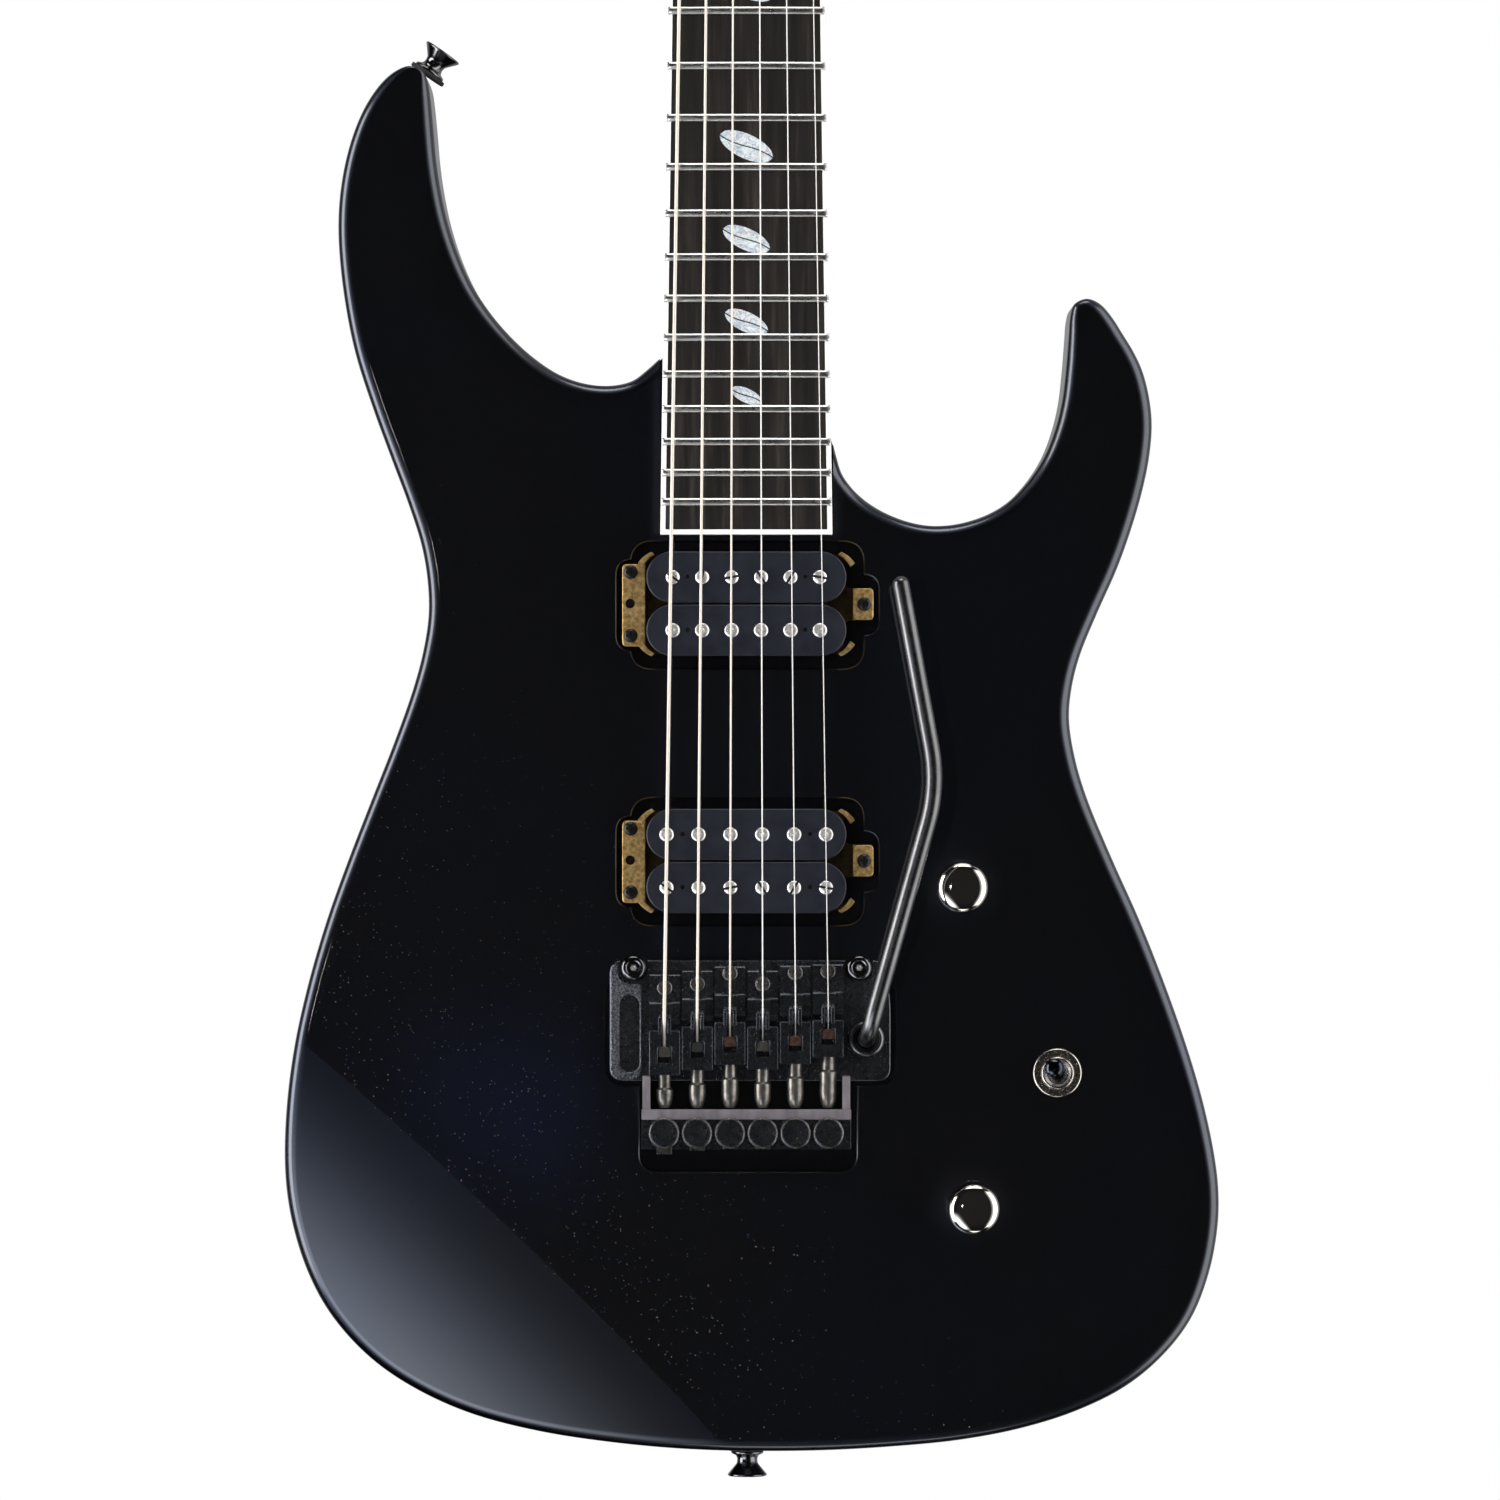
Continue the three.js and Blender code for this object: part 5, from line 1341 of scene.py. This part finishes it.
def make_saddle(index):
    """One saddle: foot, stepped ridge, forked string channel, clamp block with its window and insert."""
    number = index + 1
    low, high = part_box(f"saddle_{number}")
    x = (low.x + high.x) / 2
    front = high.z
    rear = {1: -674.6, 2: -673.0, 3: -671.2, 4: -672.7, 5: -670.9, 6: -668.7}[number] * MM
    seat = PLATE_TOP - 0.2 * MM
    half = 5.05 * MM

    def bar(name, profile, left, right):
        corners = [(front - s * MM if s >= 0 else rear, seat - h * MM) for s, h in profile]
        return side_bar(name, corners, x + left, x + right)

    foot = bar("foot", [(0, 0), (0, 2.7), (0.4, 3.1), (9.4, 3.1), (9.4, 0)], -half, half)
    screw_back = 4.4 if number in (1, 2, 4) else 2.3
    slot_outline = stadium_upright(x, front - (screw_back - 1.2) * MM, 2.4 * MM, 8 * MM)
    slot = cutter("slot", slot_outline, seat - 3.1 * MM, seat - 1 * MM, 0.2 * MM, 3)
    soften(foot, 0.1 * MM)
    bake(foot)
    boolean(foot, [slot])
    step = bar("step", [(9.0, 0), (9.0, 3.6), (9.6, 4.4), (15.6, 6.2), (16.4, 5.8), (16.4, 0)], -half, half)
    low_side = rectangle(x + 2.6 * MM, x + half + 1 * MM, front - 14.8 * MM, front - 8 * MM)
    relief = prism("relief", low_side, seat - 9 * MM, seat - 4.2 * MM)
    soften(step, 0.1 * MM)
    bake(step)
    boolean(step, [relief])
    ridge = bar("ridge", [(12.6, 3), (12.6, 6.6), (13.6, 8.0), (15, 8.35), (17, 7.4), (19, 6.0), (19, 3)],
                -0.95 * MM, 0.95 * MM)
    soften(ridge, 0.3 * MM, 3)
    tines = []
    for side in (-1, 1):
        a, b = sorted((side * 0.98 * MM, side * 2.1 * MM))
        tine = bar("tine", [(13.2, 4), (13.2, 7.2), (14.0, 8.5), (19.4, 8.5), (19.4, 4)], a, b)
        soften(tine, 0.2 * MM, 3)
        tines.append(tine)
    clamp_height = 8.2
    clamp = side_bar("clamp", [(front - 18.4 * MM, seat), (front - 18.4 * MM, seat - clamp_height * MM),
                               (rear, seat - (clamp_height - 0.4) * MM), (rear, seat)], x - half, x + half)
    soften(clamp, 0.22 * MM, 3)
    bake(clamp)
    groove = rectangle(x - 1.0 * MM, x + 1.0 * MM, rear + 7 * MM, front - 17 * MM)
    channel = prism("channel", groove, seat - 10 * MM, seat - 4.6 * MM)
    opening = rectangle(x - 2.25 * MM, x + 2.25 * MM, rear + 4 * MM, rear + 9.4 * MM, 0.7 * MM)
    window = cutter("window", opening, seat - (clamp_height - 0.2) * MM, seat - 1 * MM, 0.25 * MM, 3)
    boolean(clamp, [channel, window])
    whole = merge(f"saddle_body_{number}", [foot, step, ridge, *tines, clamp])
    settle(whole, "tremolo", "black_metal", BLACK_METAL, f"saddle_{number}")
    filling = rectangle(x - 2.05 * MM, x + 2.05 * MM, rear + 5.9 * MM, rear + 9.2 * MM, 0.5 * MM)
    insert = plate("insert", filling, seat - 6.9 * MM, seat - 1.2 * MM, 0.35 * MM)
    screw_foot = Vector((x, seat - 2.4 * MM, front - screw_back * MM))
    screw = hex_bolt(screw_foot, FRONT, 2.45 * MM, 1.9 * MM, 1.15 * MM)
    return insert, screw, lock_bolt(x, rear)


def make_saddles():
    inserts, screws, bolts = zip(*[make_saddle(index) for index in range(STRING_COUNT)])
    settle(merge("saddle_screws", screws), "tremolo", "black_metal", SADDLE_SCREW)
    settle(merge("lock_bolts", bolts), "tremolo", "steel", BOLT_STEEL)
    for kind, material, places in (("steel", BOLT_STEEL, (0, 3)), ("black", COVER, (1,)),
                                   ("copper", COPPER, (2, 4, 5))):
        settle(merge(f"{kind}_string_clamps", [inserts[i] for i in places]), "tremolo", "steel", material)


def lock_bolt(x, rear):
    """The long bolt that squeezes the string clamp: a slim neck, a shoulder and a bullet-shaped head."""
    end = -685.5 * MM
    length = (rear - end) / MM
    neck = min(4.8, length - 6.0)
    profile = [(0, -1.0), (2.1, -1.0), (2.1, neck - 0.5), (2.75, neck), (2.8, length - 4.6),
               (2.6, length - 2.6), (2.05, length - 0.8), (1.5, length), (0.9, length),
               (0.9, length - 1.2), (0, length - 1.2)]
    return turned_mm("bolt", profile, Vector((x, PLATE_TOP - 4.4 * MM, rear)), DOWN, 0.5, 40)


def make_fine_tuner(number):
    foot, out = joint_place(f"fine_tuner_turn_{number}")
    disc = turned_mm(f"fine_tuner_knob_{number}", [(0, 6.2), (1.5, 6.2), (1.5, 12.7), (4.7, 12.7), (5, 13),
                                                   (5, 16.9), (4.45, 17.55), (4.2, 17.6), (0, 17.45)],
                     foot, out, 0.25, 64)
    settle(disc, f"fine_tuner_{number}", "black_metal", BLACK_METAL, f"fine_tuner_{number}")
    # Painted highlight: a lighter grey metal ring on the knob's top edge gives it a bright rim.
    rim = turned_mm(f"fine_tuner_highlight_rim_{number}", [(4.7, 16.9), (5.05, 16.8), (5.06, 17.15), (4.72, 17.62),
                                                 (4.6, 17.6)], foot, out, 0.1, 64, True)
    settle(rim, f"fine_tuner_{number}", "black_metal", SADDLE_SCREW)
    reach = {1: 2.2, 2: 1.0, 3: 0.4, 4: 0.5}.get(number, 0)
    return block("lug", foot + at(-2.5, -12.6, -4.9 - reach), foot + at(2.5, -11.8, 0), 0.3 * MM)


def make_stud(node):
    foot = face_centre(node)
    post = turned_mm(f"{node}_post", [(0, -22), (3, -22), (3, 0.4), (3.8, 0.6), (3.8, 1.4), (3.3, 2),
                                      (3.3, 4), (4.15, 5.4), (4.15, 7.4), (3.6, 8.3), (2.7, 8.6),
                                      (2.2, 8.3), (0, 8.3)], foot, FRONT, 0.35, 64)
    well = skin("well", [[foot + FRONT * d * MM + corner for corner in hexagon(1.35 * MM, FRONT)]
                         for d in (9.5, 5.0)])
    settle(boolean(post, [well]), "instrument", "black_metal", DARK_CHROME, node)
    core = turned_mm(f"{node}_core", [(0, 5.0), (1.3, 5.0), (1.3, 7.0), (0.8, 7.4), (0, 7.0)], foot,
                     FRONT, 0.2, 6)
    settle(core, "instrument", "steel", POLE)


def make_arm():
    foot = face_centre("arm_collar")
    collar = turned_mm("arm_socket", [(3.4, 4.7), (6.1, 4.7), (6.1, 8.2), (5.6, 9.2), (4.8, 9.6), (4.2, 9.2),
                                      (3.9, 8.4), (3.4, 8.2)], foot, FRONT, 0.4, 64, True)
    settle(collar, "tremolo", "black_metal", ARM_METAL, "arm_collar")
    x, z = foot.x / MM, foot.z / MM
    corners = [at(x, 1, z), at(x, -22, z), at(62.6, -35, -579.1), at(50.4, -38.5, -513.6)]
    route = eased(corners, 13 * MM, 14, closed=False)
    spaced = [route[0], route[0].lerp(route[1], 0.5), *route[1:-1]]
    end, before = route[-1], route[-2]
    along = (end - before).normalized()
    spaced += [before.lerp(end, 0.5), end]
    radii = [ARM_RADIUS] * len(spaced)
    for share in (0.35, 0.65, 0.85, 0.96, 1.0):
        spaced.append(end + along * 2.6 * MM * share)
        radii.append(ARM_RADIUS * math.sqrt(max(1 - share * share, 0.02)))
    settle(tube("arm_bar", spaced, radii, 32), "arm", "black_metal", ARM_METAL, "tremolo_arm", angle=60)


def make_tremolo():
    make_bridge_plate()
    make_saddles()
    lugs = [make_fine_tuner(number) for number in range(1, STRING_COUNT + 1)]
    settle(merge("fine_tuner_springs", lugs), "tremolo", "steel", SADDLE_SCREW)
    make_stud("bass_bridge_stud")
    make_stud("treble_bridge_stud")
    make_arm()


# ---- controls ----
def make_knob(node, joint, body):
    foot, out = joint_place(joint)
    shape = [(3.4, 3.2), (6.6, 3.2), (6.6, 0.8), (8.3, 0.8), (8.65, 1.2), (8.65, 11.2)]
    flatness = 2 / 3.8
    dome = [(8.65 * math.cos(a) ** flatness, 11.2 + 6.4 * math.sin(a) ** flatness)
            for a in np.radians(90 * np.linspace(0.02, 0.999, 40) ** 1.4)]
    inner = [(0, 17.6), (0, 12.2), (3.4, 12.2)]
    profile = line_mm(*shape, *dome, *inner)
    knob = turned(f"{node}_dome", profile, foot, out, 96, True)
    settle(knob, body, "nickel", NICKEL, node, angle=40)
    washer = turned_mm(f"{node}_felt", [(5.2, 0), (7.6, 0), (7.6, 0.6), (5.2, 0.6)], foot, out, 0.1, 48, True)
    settle(washer, "instrument", "black_plastic", RUBBER)


def make_toggle():
    foot = face_centre("toggle_switch")
    washer = turned_mm("toggle_washer", [(3.1, 0.05), (8.1, 0.05), (8.1, 0.8), (7.7, 1.2), (3.1, 1.2)],
                       foot, FRONT, 0.3, 72, True)
    settle(washer, "instrument", "nickel", WARM_NICKEL, "toggle_switch")
    nut = turned_mm("toggle_nut", [(3.0, 1.1), (5.55, 1.1), (5.55, 2.9), (5.1, 3.6), (4.5, 3.6), (3.6, 2.9),
                                   (3.0, 2.9)], foot, FRONT, 0.35, 64, True)
    settle(nut, "instrument", "nickel", WARM_NICKEL)
    bush = turned_mm("toggle_bushing", [(0, -16), (6, -16), (6, -6.4), (3.0, -6.4), (3.0, 2.7), (2.2, 2.9),
                                        (1.6, 0.5), (0, 0.5)], foot, FRONT, 0.3, 48)
    settle(bush, "instrument", "nickel", BLACK_METAL)
    pivot = joint_place("toggle_flick")[0]
    lean = (foremost_point("toggle_lever") - pivot).normalized()
    lever = turned_mm("toggle_bat", [(0, 0.2), (0.95, 0.3), (1.1, 3.4), (2.3, 8.0), (3.1, 10.6), (3.3, 12.0),
                                     (2.9, 13.5), (1.7, 14.3), (0, 14.5)], pivot, lean, 1.0, 40)
    settle(lever, "toggle", "black_metal", SMOKED, "toggle_lever", angle=60)


def foremost_point(node):
    """The middle of a CAD node's foremost vertices."""
    points = [vertex.co for vertex in frame["nodes"][node].data.vertices]
    front = min(point.y for point in points)
    foremost = [point for point in points if point.y < front + 0.2 * MM]
    return sum(foremost, Vector()) / len(foremost)


def dress_hidden_nodes():
    """The CAD pieces that keep their own shape, inside the body."""
    for node in ("sustain_block", "volume_pot", "tone_pot"):
        for slot in frame["nodes"][node].material_slots:
            slot.material = SATIN_STEEL


# ---- studio ----
def between(tree, value, low, high, soft):
    """1 where low < value < high, with soft edges."""
    up = remap(tree, value, 0.0, 1.0, low - soft, low + soft, smooth=True)
    down = remap(tree, value, 1.0, 0.0, high - soft, high + soft, smooth=True)
    return math_node(tree, "MULTIPLY", up, down)


# Soft boxes by direction from the object: azimuth (0 in front, + to the treble side) and elevation limits
# in degrees, the softness of their edges, strength and colour.
SOFT_BOXES = [
    ((-58, -24), (-54, -22), 15, 4.0, (0.88, 0.93, 1.0)),
    ((-88, -60), (-34, 30), 4, 6.0, (1.0, 0.98, 0.98)),
    ((46, 96), (-50, 46), 6, 2.2, (1.0, 0.99, 0.98)),
    ((34, 52), (-38, 38), 6, 0.5, (1.0, 0.99, 0.98)),
    ((-26, 26), (-30, 34), 10, 0.008, (1.0, 0.86, 0.76)),
    ((-70, 70), (66, 90), 5, 4.5, (1.0, 0.99, 0.97)),
    ((-40, 60), (-90, -72), 5, 2.0, (1.0, 0.98, 0.95)),
    ((-9.8, -8.8), (-0.5, 0.5), 0.2, 50.0, (1.0, 0.96, 0.92)),
    ((100, 180), (-40, 60), 14, 0.5, (1.0, 1.0, 1.0)),
    ((-180, -130), (-20, 60), 14, 0.5, (1.0, 1.0, 1.0)),
]
ROOM = (0.01, 0.01, 0.011)
FLOOR_LEVEL = -1.3
FLOOR_RADIUS = 4.5


def make_world():
    """White to the camera; to the object, a dark room with soft boxes to the sides, above and behind."""
    world = bpy.data.worlds.new("studio")
    bpy.context.scene.world = world
    world.use_nodes = True
    tree = world.node_tree
    direction = add_node(tree, "ShaderNodeTexCoord").outputs["Generated"]
    split = add_node(tree, "ShaderNodeSeparateXYZ", {"Vector": direction})
    toward = math_node(tree, "MULTIPLY", split.outputs["Y"], -1.0)
    azimuth = math_node(tree, "DEGREES", math_node(tree, "ARCTAN2", split.outputs["X"], toward))
    elevation = math_node(tree, "DEGREES", math_node(tree, "ARCSINE", split.outputs["Z"]))
    light = None
    for (left, right), (bottom, top), soft, strength, color in SOFT_BOXES:
        mask = math_node(tree, "MULTIPLY", between(tree, azimuth, left, right, soft),
                         between(tree, elevation, bottom, top, soft))
        glow = tuple(c * strength for c in color)
        lit = add_node(tree, "ShaderNodeVectorMath", {0: glow}, operation="SCALE")
        tree.links.new(mask, lit.inputs["Scale"])
        if light is None:
            light = lit.outputs["Vector"]
        else:
            light = add_node(tree, "ShaderNodeVectorMath", {0: light, 1: lit.outputs["Vector"]},
                             operation="ADD").outputs["Vector"]
    room = add_node(tree, "ShaderNodeVectorMath", {0: light, 1: ROOM}, operation="ADD")
    studio = add_node(tree, "ShaderNodeBackground", {"Color": room.outputs["Vector"], "Strength": 1.0})
    white = add_node(tree, "ShaderNodeBackground", {"Color": (1, 1, 1, 1), "Strength": 1.0})
    seen = add_node(tree, "ShaderNodeLightPath").outputs["Is Camera Ray"]
    mix = add_node(tree, "ShaderNodeMixShader", {"Fac": seen})
    tree.links.new(studio.outputs["Background"], mix.inputs[1])
    tree.links.new(white.outputs["Background"], mix.inputs[2])
    tree.links.new(mix.outputs["Shader"], tree.nodes["World Output"].inputs["Surface"])


# Lamps that only matt surfaces show: name, tilt from straight down, turn, strength.
FILLS = [("front_fill", 68, -12, 2.2), ("back_fill", 60, 170, 1.4)]


def make_fills():
    for name, tilt, turn, strength in FILLS:
        lamp = bpy.data.lights.new(name, "SUN")
        lamp.energy = strength
        lamp.angle = math.radians(60)
        holder = bpy.data.objects.new(name, lamp)
        bpy.context.scene.collection.objects.link(holder)
        holder.rotation_euler = (math.radians(tilt), 0, math.radians(turn))
        holder.visible_glossy = False


def make_floor():
    profile = [(0, -0.01), (FLOOR_RADIUS, -0.01), (FLOOR_RADIUS, 0), (0, 0)]
    disc = turned("floor", profile, Vector((0, 0, FLOOR_LEVEL)), -DOWN, 96)
    pale = surface("pale_floor", (0.78, 0.78, 0.78), (0.84, 0.84, 0.84), (0.6, 0.8), 0.0, 3.0)
    disc.data.materials.append(pale)
    disc.visible_diffuse = False
    disc.visible_glossy = False


def make_camera():
    lens, sensor = 200.0, 36.0
    distance = FRAME_SIDE * lens / sensor
    camera = bpy.data.cameras.new("camera")
    camera.lens = lens
    camera.sensor_width = sensor
    camera.clip_start, camera.clip_end = 0.05, 100
    holder = bpy.data.objects.new("camera", camera)
    bpy.context.scene.collection.objects.link(holder)
    holder.location = (CAMERA_X, -distance, CAMERA_Z)
    holder.rotation_euler = (math.pi / 2, 0, 0)
    bpy.context.scene.camera = holder
    bpy.context.scene.view_settings.view_transform = "Standard"


make_camera()
make_world()
make_fills()
make_floor()
make_body()
make_neck()
make_board()
make_frets()
make_nut()
make_tuners()
make_strings()
make_strap_buttons()
make_jack()
make_back_hardware()
make_pickup("neck_pickup", 9.7 * MM, screws_above=True)
make_pickup("bridge_pickup", 10.5 * MM, screws_above=False)
make_tremolo()
make_knob("volume_knob", "volume_turn", "volume")
make_knob("tone_knob", "tone_turn", "tone")
make_toggle()
dress_hidden_nodes()
